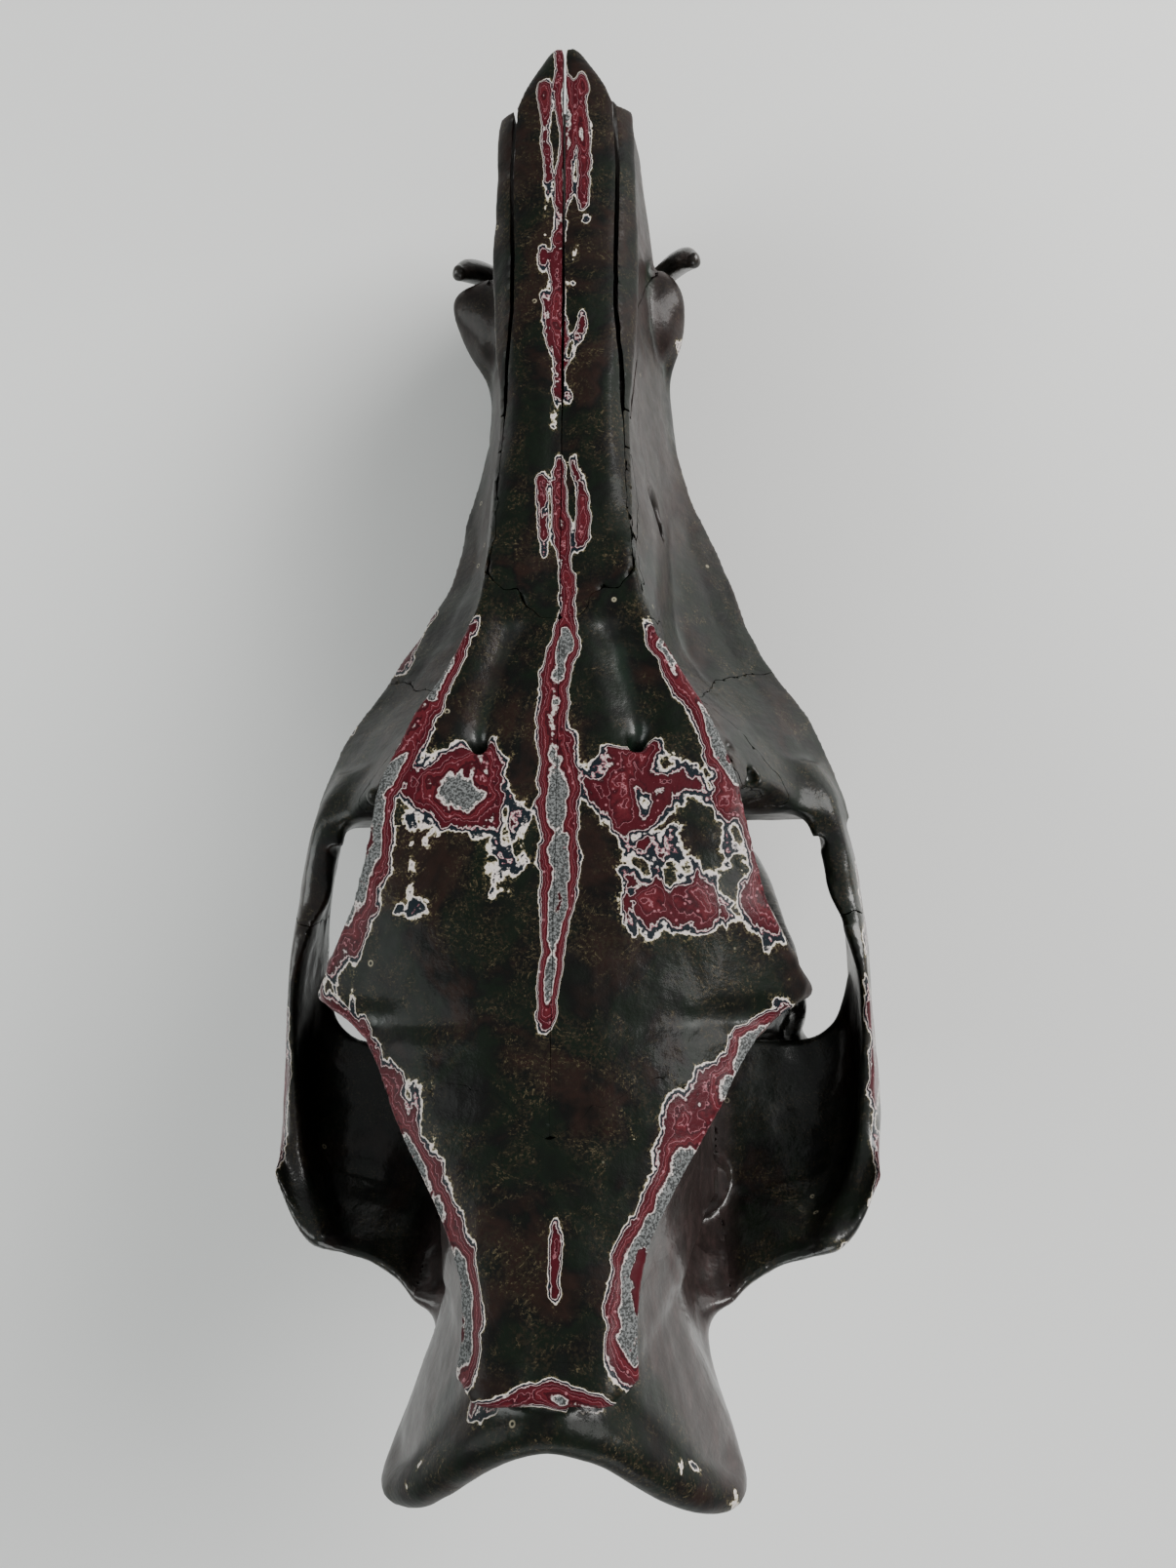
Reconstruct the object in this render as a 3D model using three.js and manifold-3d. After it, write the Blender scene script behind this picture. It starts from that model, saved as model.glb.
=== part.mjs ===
// Painted skull of a wild boar type hog, life size, resting on its closed lower jaw.
// Millimetres. +Y points to the snout, +X to the animal's right, +Z up, table at Z = 0.

import * as THREE from 'three';
import { LoftGeometry } from 'three/addons/geometries/LoftGeometry.js';
import { mergeVertices } from 'three/addons/utils/BufferGeometryUtils.js';
import Module from 'manifold-3d';

const wasm = await Module();
wasm.setup();

// Driving dimensions. The bones are modelled level with the chewing plane at Z = 0, then tipped
// nose down by PITCH and lifted so that the lower jaw's edge lies on the table.
const PITCH = THREE.MathUtils.degToRad(5);
const JAW_DEPTH = 59.7;
const SNOUT_TIP_Y = 196;
const NASAL_TIP_Y = 191;
const CREST_TOP_Z = 155.5;
const ARCH_HALF_WIDTH = 80.8;
const ARCH_SPLAY = 9;
const CREST_CORNER = [37, -188.5, 120];
const GAP = 0.3;
const BITE_GAP = 0.4;
const FLAT_CUT = 0.8;
const FAR = 400;

// Orbit, nose opening and foramen magnum
const ORBIT = { x: 60, y: -50.5, z: 91, rx: 34, ry: 20, rz: 19 };
const NOSTRIL = { halfWidth: 11.5, backY: 72 };
const FORAMEN_MAGNUM = { radius: 11.5, z: 69, depthY: -112 };

// Height of the table below the chewing plane at a station
const tableZ = (y) => -JAW_DEPTH + y * Math.tan(PITCH);

// Smooth curve through [y, value] stops, with y falling from snout to crest
function profile(stops) {
  const points = stops.map(([y, value]) => ({ y, value }));
  const last = points.length - 1;
  const slope = (i) => {
    const a = points[Math.max(i - 1, 0)];
    const b = points[Math.min(i + 1, last)];
    return (b.value - a.value) / (b.y - a.y);
  };
  return (y) => {
    if (y >= points[0].y) return points[0].value;
    if (y <= points[last].y) return points[last].value;
    const i = points.findIndex((p, k) => k < last && y <= p.y && y >= points[k + 1].y);
    const p = points[i];
    const q = points[i + 1];
    const h = q.y - p.y;
    const t = (y - p.y) / h;
    const t2 = t * t;
    const t3 = t2 * t;
    return (2 * t3 - 3 * t2 + 1) * p.value + (t3 - 2 * t2 + t) * h * slope(i)
      + (3 * t2 - 2 * t3) * q.value + (t3 - t2) * h * slope(i + 1);
  };
}

// Closed surface to solid
function solid(geometry) {
  const bare = new THREE.BufferGeometry();
  bare.setAttribute('position', geometry.getAttribute('position'));
  bare.setIndex(geometry.index);
  const merged = mergeVertices(bare, 1e-4);
  const position = merged.getAttribute('position').array;
  const index = Uint32Array.from(merged.index.array);
  const mesh = new wasm.Mesh({ numProp: 3, vertProperties: new Float32Array(position), triVerts: index });
  return new wasm.Manifold(mesh);
}

// Loft through closed rings of points, each ring turned to wind round the direction of the loft
function loft(rings) {
  const sum = (ring) => ring.reduce((total, p) => total.add(p), new THREE.Vector3());
  const centre = (ring) => sum(ring).divideScalar(ring.length);
  const start = centre(rings[0]);
  const forward = centre(rings[1]).sub(start);
  const normal = new THREE.Vector3();
  rings[0].forEach((p, i) => {
    const next = rings[0][(i + 1) % rings[0].length];
    normal.add(p.clone().sub(start).cross(next.clone().sub(start)));
  });
  const sections = normal.dot(forward) < 0 ? rings.map((ring) => [...ring].reverse()) : rings;
  return solid(new LoftGeometry(sections, { closed: true, capStart: true, capEnd: true }));
}

// Solid block between two corners
function block(x0, x1, y0, y1, z0, z1) {
  const box = new THREE.BoxGeometry(x1 - x0, y1 - y0, z1 - z0);
  return solid(box.translate((x0 + x1) / 2, (y0 + y1) / 2, (z0 + z1) / 2));
}

// Ellipsoid with optional turn about X, Y and Z
function ellipsoid(centre, radii, turn = [0, 0, 0], detail = 16) {
  const ball = new THREE.SphereGeometry(1, detail, Math.round(detail * 0.6));
  const place = new THREE.Matrix4().compose(
    new THREE.Vector3(...centre),
    new THREE.Quaternion().setFromEuler(new THREE.Euler(...turn)),
    new THREE.Vector3(...radii),
  );
  return solid(ball.applyMatrix4(place));
}

// Unit circle of a few sides
function circle(sides) {
  return Array.from({ length: sides }, (_, k) => {
    const angle = (2 * Math.PI * k) / sides;
    return [Math.cos(angle), Math.sin(angle)];
  });
}

// Tapered limb: a unit section scaled to [width, depth] at each stop of a centre line
function limb(stops, sides = 8, section = circle(sides)) {
  const points = stops.map((s) => new THREE.Vector3(...s.at));
  const rings = stops.map((s, i) => {
    const before = points[Math.max(i - 1, 0)];
    const after = points[Math.min(i + 1, points.length - 1)];
    const along = after.clone().sub(before).normalize();
    const across = new THREE.Vector3(...(s.across ?? [1, 0, 0]));
    across.addScaledVector(along, -across.dot(along)).normalize();
    const up = new THREE.Vector3().crossVectors(along, across);
    return section.map(([u, v]) => points[i].clone()
      .addScaledVector(across, s.size[0] * u)
      .addScaledVector(up, s.size[1] * v));
  });
  return loft(rings);
}

// Prism of an outline drawn in plan (x, y) between two heights
function planPrism(outline, z0 = -FAR, z1 = FAR) {
  const shape = new THREE.Shape(outline.map(([x, y]) => new THREE.Vector2(x, y)));
  const prism = new THREE.ExtrudeGeometry(shape, { depth: z1 - z0, bevelEnabled: false, steps: 1 });
  return solid(prism.translate(0, 0, z0));
}

// Prism of an outline drawn from the side (y, z) between two widths
function sidePrism(outline, x0 = 0, x1 = FAR) {
  const shape = new THREE.Shape(outline.map(([y, z]) => new THREE.Vector2(y, z)));
  const prism = new THREE.ExtrudeGeometry(shape, { depth: x1 - x0, bevelEnabled: false, steps: 1 });
  const turn = new THREE.Matrix4().makeBasis(
    new THREE.Vector3(0, 1, 0), new THREE.Vector3(0, 0, 1), new THREE.Vector3(1, 0, 0),
  );
  return solid(prism.applyMatrix4(turn).translate(x0, 0, 0));
}

// Largest closed surface of a solid, which drops loose scraps
function largest(body) {
  const pieces = body.decompose();
  return pieces.reduce((best, piece) => (piece.volume() > best.volume() ? piece : best));
}

// Left side against right: how far parts outside the nose reach, beyond SAME_WIDTH from the midline
const SAME_WIDTH = 20;
const leftReach = profile([[152, 1.05], [140, 1.14], [133, 1.48], [126, 1.36], [116, 1.16], [104, 1],
  [62, 1], [49, 0.86], [37, 0.82], [27, 0.91], [14, 1]]);
const leftX = (x, y) => (x > SAME_WIDTH ? SAME_WIDTH + (x - SAME_WIDTH) * leftReach(y) : x);

// Mirror image across the midline
function mirrored(geometry, reach = leftX) {
  const g = geometry.clone();
  const position = g.getAttribute('position');
  for (let i = 0; i < position.count; i += 1) position.setX(i, -reach(position.getX(i), position.getY(i)));
  g.setIndex(Array.from(g.index.array).reverse());
  g.computeVertexNormals();
  return g;
}

// Solid to mesh geometry
function geometryOf(body) {
  const mesh = body.getMesh();
  const g = new THREE.BufferGeometry();
  g.setAttribute('position', new THREE.BufferAttribute(new Float32Array(mesh.vertProperties), 3));
  g.setIndex(Array.from(mesh.triVerts));
  g.computeVertexNormals();
  return g;
}

// Half section of the head, as named curves along Y
const crownZ = profile([[196, 61], [188, 65], [107, 80], [17, 100], [-43, 117.5], [-77, 129.5],
  [-111, 138.5], [-144, 147.7], [-166, CREST_TOP_Z], [-196, 161]]);
const ridgeX = profile([[196, 6], [188, 9], [182, 14], [172, 19.5], [150, 20.4], [121, 20.8], [103, 20.2],
  [85, 18.8], [72, 17.7], [44, 18.7], [22, 20], [10, 23.2], [-3, 29.5], [-13, 35.5], [-23, 40],
  [-32, 43], [-44, 45], [-62, 48.5], [-76, 50.5], [-88, 46.5], [-97, 41.5], [-106, 36.5], [-119, 28.4],
  [-131, 21.5], [-143, 18.5], [-156, 19], [-165, 23.5], [-178, 30], [-188, 37], [-196, 43]]);
const ridgeZ = profile([[196, 56], [182, 60], [150, 67], [121, 71], [85, 79], [44, 91], [22, 98], [-3, 104],
  [-23, 109.5], [-44, 114.5], [-62, 116.5], [-76, 118], [-88, 120], [-106, 129], [-131, 139.5],
  [-156, 146.5], [-165, 144.5], [-178, 137], [-192, CREST_CORNER[2]], [-196, 121]]);
const roofBow = profile([[196, 2], [150, 1.5], [60, 2.5], [20, 0.5], [-30, 0.8], [-80, 2.5], [-130, 1],
  [-166, 4], [-196, 9]]);
const browDrop = profile([[196, 3], [100, 4], [20, 4], [-20, 7], [-50, 9], [-80, 9], [-110, 7], [-150, 9],
  [-170, 9], [-196, 8]]);
const wallX = profile([[196, 10], [182, 15.5], [150, 19], [103, 19.5], [72, 20.5], [45, 25], [10, 27],
  [-30, 27], [-60, 26], [-85, 30], [-110, 33], [-130, 32], [-150, 32.5], [-170, 34.5], [-196, 40]]);
const wallZ = profile([[196, 42], [150, 50], [103, 54], [72, 58], [10, 66], [-30, 76], [-60, 84],
  [-110, 96], [-150, 97], [-196, 113]]);
const jawX = profile([[196, 13], [190, 17], [181, 20], [162, 22.3], [148, 23.7], [120, 27], [95, 29],
  [81, 30], [60, 31.5], [0, 32], [-30, 30], [-44, 26], [-60, 22], [-84, 25], [-110, 34], [-140, 36],
  [-170, 35], [-196, 36]]);
const jawZ = profile([[196, 31], [162, 33], [95, 24], [60, 26], [0, 30], [-30, 36], [-60, 46], [-84, 60],
  [-110, 68], [-150, 74], [-196, 96]]);
const alveolusX = profile([[196, 11], [181, 17.5], [148, 21], [120, 23], [95, 28.5], [60, 30], [0, 31],
  [-30, 29.5], [-44, 24], [-60, 18.5], [-78, 17], [-84, 17], [-110, 18], [-150, 24], [-196, 30]]);
const alveolusZ = profile([[196, 22], [181, 18], [148, 15], [95, 14], [0, 13], [-44, 13], [-60, 12],
  [-76, 14], [-80, 26], [-84, 44], [-110, 46], [-150, 52], [-196, 80]]);
const palateX = profile([[196, 6], [148, 11], [95, 15], [0, 17], [-44, 15], [-60, 13], [-78, 12],
  [-110, 10], [-196, 12]]);
const palateZ = profile([[196, 25], [181, 21], [148, 17], [95, 14.5], [0, 15.5], [-44, 14], [-60, 12],
  [-76, 15], [-80, 27], [-84, 45], [-110, 47], [-150, 53], [-196, 82]]);

// Right half of the head's section, from the crown down to the palate
function halfSection(y) {
  const cz = crownZ(y);
  const rx = ridgeX(y);
  const rz = ridgeZ(y);
  const bow = roofBow(y);
  const brow = browDrop(y);
  return [
    [0, cz], [rx * 0.35, cz + (rz - cz) * 0.16 + bow * 0.6], [rx * 0.7, cz + (rz - cz) * 0.55 + bow],
    [rx - 1.2, rz + 0.8], [rx, rz - 1], [rx - 0.15 * brow, rz - brow],
    [(rx + 2 * wallX(y)) / 3, (rz - brow + 2 * wallZ(y)) / 3 + 3],
    [wallX(y), wallZ(y)], [(wallX(y) * 1.1 + jawX(y) * 0.9) / 2, (wallZ(y) + jawZ(y)) / 2],
    [jawX(y), jawZ(y)], [(jawX(y) + alveolusX(y)) / 2 + 1, (jawZ(y) + alveolusZ(y)) / 2 - 1],
    [alveolusX(y), alveolusZ(y)], [palateX(y), palateZ(y)], [0, palateZ(y) + 0.8],
  ];
}

// Closed ring across the head at one station
function headRing(y) {
  const half = halfSection(y);
  const inner = half.slice(1, -1);
  const left = inner.map(([x, z]) => new THREE.Vector3(-x, y, z));
  const right = inner.map(([x, z]) => new THREE.Vector3(x, y, z)).reverse();
  const top = new THREE.Vector3(0, y, half[0][1]);
  const bottom = new THREE.Vector3(0, y, half[half.length - 1][1]);
  return [top, ...left, bottom, ...right];
}

// Stations along Y, closer together where the outline turns
function stations() {
  const ys = [SNOUT_TIP_Y, 193, 189, 184, 178, 170, 160, 149];
  for (let y = 138; y > -26; y -= 15) ys.push(y);
  for (let y = -30; y > -150; y -= 8) ys.push(y);
  return [...ys, -150, -158, -168];
}

// Solid behind the nuchal face, which leans forward from the crest down to the condyles
function nuchalCutter() {
  return sidePrism([[-166, 200], [-160, 152], [-157, 144], [-150, 125], [-143.5, 100], [-139.5, 80],
    [-136.5, 62], [-134, 40], [-134, -60], [-300, -60], [-300, 200]], -FAR, FAR);
}

// Nuchal crest: a thin plate that fans out from the crown round the corner to the ear region
// and carries a thick rounded rim
const PLATE_SECTION = [[-1, -1], [0.6, -1], [1, -0.5], [1, 0.5], [0.6, 1], [-1, 1]];
const PLATE_SHARE = 0.72;
const CREST = [
  { rim: [0, -165.5, 149.5], root: [0, -144, 140], r: 4.2 },
  { rim: [12.8, -170, 145.5], root: [8, -144, 136], r: 4.2 },
  { rim: [23.5, -179.5, 137.5], root: [15, -144, 126], r: 4.2 },
  { rim: [31.5, -186, 129], root: [19, -143, 117], r: 4 },
  { rim: CREST_CORNER, root: [21.5, -142, 108], r: 3.8 },
  { rim: [34, -183, 111], root: [22.5, -140, 100], r: 3.6 },
  { rim: [30.6, -177, 103.5], root: [24, -138, 93], r: 3.4 },
  { rim: [29.5, -168, 98], root: [25, -136, 86], r: 3.2 },
  { rim: [30, -159, 91], root: [26.5, -133, 79], r: 3.4 },
];
function nuchalCrest() {
  const flip = (p) => [-p[0], p[1], p[2]];
  const right = CREST.slice(1).reverse();
  const left = CREST.slice(1).map(({ rim, root, r }) => ({ rim: flip(rim), root: flip(root), r }));
  const stops = [...right, CREST[0], ...left];
  const plate = limb(stops.map(({ rim, root, r }) => {
    const outer = new THREE.Vector3(...rim);
    const inner = new THREE.Vector3(...root);
    const reach = outer.distanceTo(inner) / 2;
    const across = outer.clone().sub(inner).normalize().toArray();
    const at = outer.add(inner).divideScalar(2).toArray();
    return { at, size: [reach, r * PLATE_SHARE], across };
  }), PLATE_SECTION.length, PLATE_SECTION);
  return plate.add(limb(stops.map(({ rim, r }) => ({ at: rim, size: [r, r], across: [0, 0.9, 0.4] })), 6));
}

// Nose cavity, open in front and along the notch under the nasal tips
function noseCavity() {
  const w = NOSTRIL.halfWidth;
  const ys = [215, 185, 165, 140, 110, 88, NOSTRIL.backY];
  const rings = ys.map((y) => {
    const top = crownZ(y) - 4.5;
    const edge = ridgeZ(y) - 4;
    const floor = 29 + (190 - y) * 0.03;
    const narrow = y <= NOSTRIL.backY ? 0.6 : 1;
    const half = [[0, top], [w * 0.75 * narrow, (top + edge) / 2], [w * 1.32 * narrow, edge - 1],
      [w * 1.2 * narrow, (edge + floor) / 2], [w * narrow, floor + 4], [w * 0.5 * narrow, floor],
      [0, floor - 1]];
    const inner = half.slice(1, -1);
    return [new THREE.Vector3(0, y, top), ...inner.map(([x, z]) => new THREE.Vector3(-x, y, z)),
      new THREE.Vector3(0, y, floor - 1), ...inner.map(([x, z]) => new THREE.Vector3(x, y, z)).reverse()];
  });
  return loft(rings);
}

function noseNotch() {
  return sidePrism([[215, 58.5], [186, 59.5], [170, 60.5], [153, 62.5], [163, 54], [176, 43], [188, 36],
    [200, 33], [215, 31]], -60, 60);
}

// Free edge of the nasal tips in plan, as [y, x], and the open space round it
const NASAL_TIP_EDGE = [[190, 4.2], [188, 5.8], [184, 8.2], [178.5, 11.2], [172, 13.6]];
const NASAL_TIP_HALF = 2.8;
const FREE_TIP_Y = 171;
function tipClearance() {
  const edge = NASAL_TIP_EDGE.map(([y, x]) => [x, y]);
  return planPrism([[-1, NASAL_TIP_Y], [NASAL_TIP_HALF, NASAL_TIP_Y], ...edge, [15, FREE_TIP_Y],
    [60, FREE_TIP_Y], [60, 230], [-1, 230]], 50, FAR);
}

// Passage behind the palate
function choana() {
  const ring = (y, halfWidth, z0, z1) => {
    const outline = [[-halfWidth, z1], [-halfWidth, z0], [halfWidth, z0], [halfWidth, z1]];
    return outline.map(([x, z]) => new THREE.Vector3(x, y, z));
  };
  return loft([ring(-26, 6, 22, 32), ring(-44, 9, 9, 38), ring(-50, 10.5, -5, 43),
    ring(-90, 12, -5, 44.5)]);
}

// Cheek: the flare from the face out to the arch, with its hollow in front of the orbit
const cheekX = profile([[84, 29], [72, 32.8], [56, 38.6], [36, 46.5], [19, 51.6], [5, 58], [-14, 69],
  [-30, 74], [-38, 75.5]]);
const cheekZ = profile([[84, 23], [72, 24.5], [56, 27], [36, 33], [19, 39], [5, 45], [-14, 53], [-30, 57],
  [-38, 59]]);
function cheek() {
  const ys = [84, 72, 60, 48, 36, 24, 12, 2, -8, -17, -25, -32, -38];
  const rings = ys.map((y) => {
    const ex = cheekX(y);
    const ez = cheekZ(y);
    const topX = ridgeX(y) - 3;
    const topZ = ridgeZ(y) - 6;
    const depth = 0.02 + 0.14 * THREE.MathUtils.smoothstep(y, -38, 10);
    const hollow = Math.hypot(ex - topX, topZ - ez) * depth;
    const along = (t) => [topX + (ex - topX) * t - hollow * Math.sin(Math.PI * t),
      topZ + (ez - topZ) * t - 0.6 * hollow * Math.sin(Math.PI * t)];
    const outline = [[10, topZ - 6], along(0), along(0.3), along(0.6), along(0.85), [ex, ez],
      [ex - 1.5, ez - 2 - 0.2 * (ex - 28)], [Math.min(jawX(y) + 1, ex - 4), ez - 4 - 0.22 * (ex - 28)],
      [10, ez - 5]];
    return outline.map(([x, z]) => new THREE.Vector3(x, y, z));
  });
  return loft(rings);
}

// Zygomatic arch: a standing plate from the cheek back to the ear region
const archOuter = profile([[-20, 66], [-30, 72], [-38, 74.5], [-53, 78], [-67, 79.6], [-94, 80.5],
  [-112, ARCH_HALF_WIDTH], [-121, 79.9], [-131, 77], [-138, 73], [-144, 67.5]]);
const archInner = profile([[-20, 52], [-30, 57], [-38, 62], [-47.5, 65], [-60.5, 68], [-70, 72],
  [-80, 74.5], [-90, 75], [-105, 74], [-121, 72], [-131, 69], [-140, 64], [-148, 60]]);
const archTop = profile([[-20, 66], [-30, 72], [-38, 74], [-50, 72.5], [-60, 72], [-68, 75], [-80, 77],
  [-94, 77], [-112, 79], [-131, 83], [-140, 87], [-148, 93]]);
const archBottom = profile([[-20, 46], [-30, 43], [-45, 41], [-60, 40], [-80, 39], [-94, 41], [-106, 46],
  [-120, 53], [-134, 62], [-148, 78]]);
function arch() {
  const ys = [-24, -32, -38, -46, -54, -62, -70, -78, -86, -94, -102, -112, -121, -130, -138, -144];
  const rings = ys.map((y) => {
    const o = archOuter(y);
    const i = archInner(y);
    const top = archTop(y);
    const bottom = archBottom(y);
    const mid = (top + bottom) / 2;
    const foot = Math.min(i + ARCH_SPLAY, o - 3.5);
    const outline = [[i, top - 1.5], [(i + o) / 2 - 0.4, top], [o - 2.4, top - 3], [o, mid + 2],
      [o + 0.2, mid - 8], [o - 0.4, bottom + 3], [(foot + o) / 2, bottom], [foot, bottom + 2],
      [(i + foot) / 2, mid]];
    return outline.map(([x, z]) => new THREE.Vector3(x, y, z));
  });
  return loft(rings);
}

// Squamosal shelf: the floor and back wall of the temporal hollow, above the jaw joint
function shelf() {
  const lipY = profile([[80, -84], [75, -90], [71, -97], [65, -101], [53, -102], [40, -101], [20, -101]]);
  const backY = profile([[80, -124], [77, -130], [73, -138], [69, -143.5], [65, -146.5], [58, -149],
    [51.5, -151], [44, -155], [38, -159.5], [20, -162]]);
  const backZ = profile([[80, 86], [65, 90], [58, 89], [51.5, 88.5], [44, 90], [38, 93], [20, 98]]);
  const xs = [77, 73, 69, 65, 59, 52, 45, 38, 30, 20];
  const rings = xs.map((x) => {
    const lip = lipY(x);
    const back = backY(x);
    const top = backZ(x);
    const outline = [[lip, 50], [lip - 0.35 * (lip - back), 55], [lip - 0.7 * (lip - back), 67],
      [back + 4, top - 3], [back + 1, top], [back, top - 4], [back + 9, 72], [-131, 56], [-118, 46.5],
      [-106, 44], [lip + 0.6, 46.5]];
    return outline.map(([y, z]) => new THREE.Vector3(x, y, z));
  });
  return loft(rings);
}

// Postorbital process, pointing out and down behind the orbit
function postorbital() {
  const ring = (x, y0, y1, z, t) => [[y0, z + t], [(y0 + y1) / 2, z + t + 0.8], [y1, z + t],
    [y1, z - t], [y0, z - t]]
    .map(([y, zz]) => new THREE.Vector3(x, y, zz));
  return loft([ring(34, -60, -98, 112, 4), ring(45, -62, -91.5, 112.4, 3.6), ring(50.5, -66, -87, 111.4, 3.2),
    ring(56, -76, -84.6, 108.6, 2.6), ring(58.8, -80, -83.6, 106.4, 1.6)]);
}

// Occipital condyle beside the foramen magnum
function condyle() {
  return ellipsoid([18.5, -141, 57], [8.5, 9.5, 12.5], [0.35, 0, 0.35], 12);
}

// Jugular process, hanging beside the condyle
function jugularProcess() {
  const across = [0.75, 0.66, 0];
  return limb([
    { at: [33, -137, 72], size: [8, 6], across },
    { at: [33, -136.5, 56], size: [8, 5.2], across },
    { at: [32.5, -135, 40], size: [7, 3.8], across },
    { at: [31.5, -132, 22], size: [5.4, 3.2], across },
    { at: [30.7, -129.5, 11], size: [4, 2.7], across },
    { at: [30.2, -128, 4], size: [2.2, 1.8], across },
  ]);
}

// Ear capsule under the skull base
function bulla() {
  return limb([
    { at: [24, -104, 54], size: [7, 11] },
    { at: [25, -105, 42], size: [8, 12] },
    { at: [25.5, -107, 30], size: [7, 9.5] },
    { at: [25.5, -108.5, 20], size: [4.2, 5.5] },
    { at: [25.3, -109, 15], size: [1.8, 2.4] },
  ]);
}

// Bony swelling and flange over the canine root
function canineSwelling() {
  const body = ellipsoid([24.5, 124, 29], [8.4, 15, 10], [0, -0.25, 0.1], 12);
  const flange = limb([
    { at: [22, 135, 31], size: [3, 4.6], across: [0.3, 0, 1] },
    { at: [27.5, 131.5, 34], size: [2.6, 4.4], across: [0.3, 0, 1] },
    { at: [30.2, 126, 34], size: [2.4, 4], across: [0.3, 0, 1] },
    { at: [30, 119, 30], size: [2.4, 3.6], across: [0.3, 0, 1] },
    { at: [27.5, 110, 25], size: [2.4, 3.2], across: [0.3, 0, 1] },
    { at: [24, 101, 22], size: [2, 2.8], across: [0.3, 0, 1] },
  ], 6);
  return body.add(flange);
}

// Upper canine: short, leaving the swelling outwards and down
function upperTusk(grow = 0) {
  const size = (r) => [r + grow, r + grow];
  const root = 0.3 * grow;
  const across = [0, 1, 0];
  return limb([
    { at: [19.5 - 5 * root, 119 - 2 * root, 26 + 3 * root], size: size(3.4), across },
    { at: [23.5, 121, 22.5], size: size(3.4), across },
    { at: [27, 123, 17.5], size: size(3.2), across },
    { at: [29.4, 125, 12], size: size(2.6), across },
    { at: [30.6, 126.5, 8], size: size(1.5), across },
  ], 8);
}

// Cheek teeth: length of each from P1 to M3, and its width above and below
const CHEEK_TEETH = [[8, 4.5, 4], [12, 6, 5], [13, 8.5, 6.5], [12.5, 12, 9], [16, 13.5, 10.5],
  [21, 17, 13.5], [32, 18.5, 14.5]];
const LOBE_LENGTH = 9;
const upperRowX = profile([[90, 24.5], [40, 24], [0, 23.5], [-45, 21.5]]);
const lowerRowX = profile([[90, 21], [40, 22], [0, 22.5], [-45, 22.5]]);
const UPPER_ROW = { frontY: 85, x: upperRowX, width: 1, side: 1 };
const LOWER_ROW = { frontY: 86, x: lowerRowX, width: 2, side: -1 };

// One crown: lobes along its length, a cusp on each side of every lobe, its root sunk in the jaw
function crown(x, y, length, width, rootZ, side) {
  const bite = side * BITE_GAP / 2;
  const lobes = Math.max(1, Math.round(length / LOBE_LENGTH));
  const steps = 2 * lobes;
  const rings = Array.from({ length: steps + 1 }, (_, k) => {
    const end = k === 0 || k === steps;
    const lobe = k % 2 === 1;
    const half = width * (lobe ? 0.5 : end ? 0.34 : 0.42);
    const cuspZ = bite + side * (lobe ? 0 : end ? 3.4 : 2.6);
    const grooveZ = cuspZ + side * (lobe ? 1.8 : 0.7);
    const section = [[-0.8, rootZ], [-1, bite + side * 5.5], [-0.6, cuspZ], [0, grooveZ], [0.6, cuspZ],
      [1, bite + side * 5.5], [0.8, rootZ]];
    return section.map(([u, z]) => new THREE.Vector3(x + u * half, y + length * (0.5 - k / steps), z));
  });
  return loft(rings);
}

function cheekTeeth(row, rootZ) {
  let front = row.frontY;
  const crowns = CHEEK_TEETH.map((tooth) => {
    const y = front - tooth[0] / 2;
    front -= tooth[0];
    return crown(row.x(y), y, tooth[0] * 0.96, tooth[row.width], rootZ(y), row.side);
  });
  return crowns.reduce((a, b) => a.add(b));
}

// Incisors as tapered limbs: root, tip and half thickness
function incisor([rootX, rootY, rootZ], [tipX, tipY, tipZ], r) {
  const at = (t, bow) => [rootX + (tipX - rootX) * t, rootY + (tipY - rootY) * t + bow,
    rootZ + (tipZ - rootZ) * t];
  return limb([
    { at: at(0, 0), size: [r * 0.9, r * 0.9] },
    { at: at(0.35, 0.6), size: [r, r] },
    { at: at(0.75, 0.6), size: [r, r * 0.85] },
    { at: at(1, 0), size: [r * 0.8, r * 0.4] },
  ], 6);
}

function upperIncisors() {
  return incisor([6, 184, 27], [3.1, 198, 8], 3.5).add(incisor([12, 179, 25], [10, 189, 8], 2.8))
    .add(incisor([16.8, 168, 24], [17.2, 173, 9], 2.2));
}

function lowerIncisors() {
  return incisor([4.3, 172, -18], [3.2, 193.5, 3.5], 3).add(incisor([10, 172, -16], [9.4, 190.5, 3], 2.9))
    .add(incisor([15.5, 168, -13], [17, 180, 2.5], 2.2));
}

// Lower jaw, right half: named curves along Y
const jawTop = profile([[188, -9], [165, -6], [150, -8], [130, -12], [100, -9], [85, -8], [-36, -8],
  [-46, 2], [-56, 15], [-66, 31], [-76, 47], [-84, 57], [-89, 61], [-94, 54], [-98, 43], [-104, 39],
  [-110, 34], [-115, 20], [-119, 0], [-122, -22]]);
const jawBottom = profile([[188, -17], [181, -26], [170, -36], [158, -42], [140, tableZ(140) + 1],
  [122, tableZ(122) - FLAT_CUT], [100, tableZ(100) - FLAT_CUT], [60, tableZ(60) + 2], [0, tableZ(0) + 2.5],
  [-50, tableZ(-50) + 1], [-72, tableZ(-72) - FLAT_CUT], [-96, tableZ(-96) - FLAT_CUT], [-108, -66],
  [-116, -58], [-122, -44]]);
const jawOuter = profile([[188, 9], [181, 15], [172, 20], [165, 23.2], [155, 24.8], [145, 24], [130, 22.5],
  [110, 24], [85, 27], [60, 29], [30, 32], [0, 36], [-20, 41], [-35, 48], [-48, 55.5], [-54, 58], [-68, 62],
  [-85, 64], [-99, 64.5], [-112, 63], [-122, 59]]);
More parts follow.
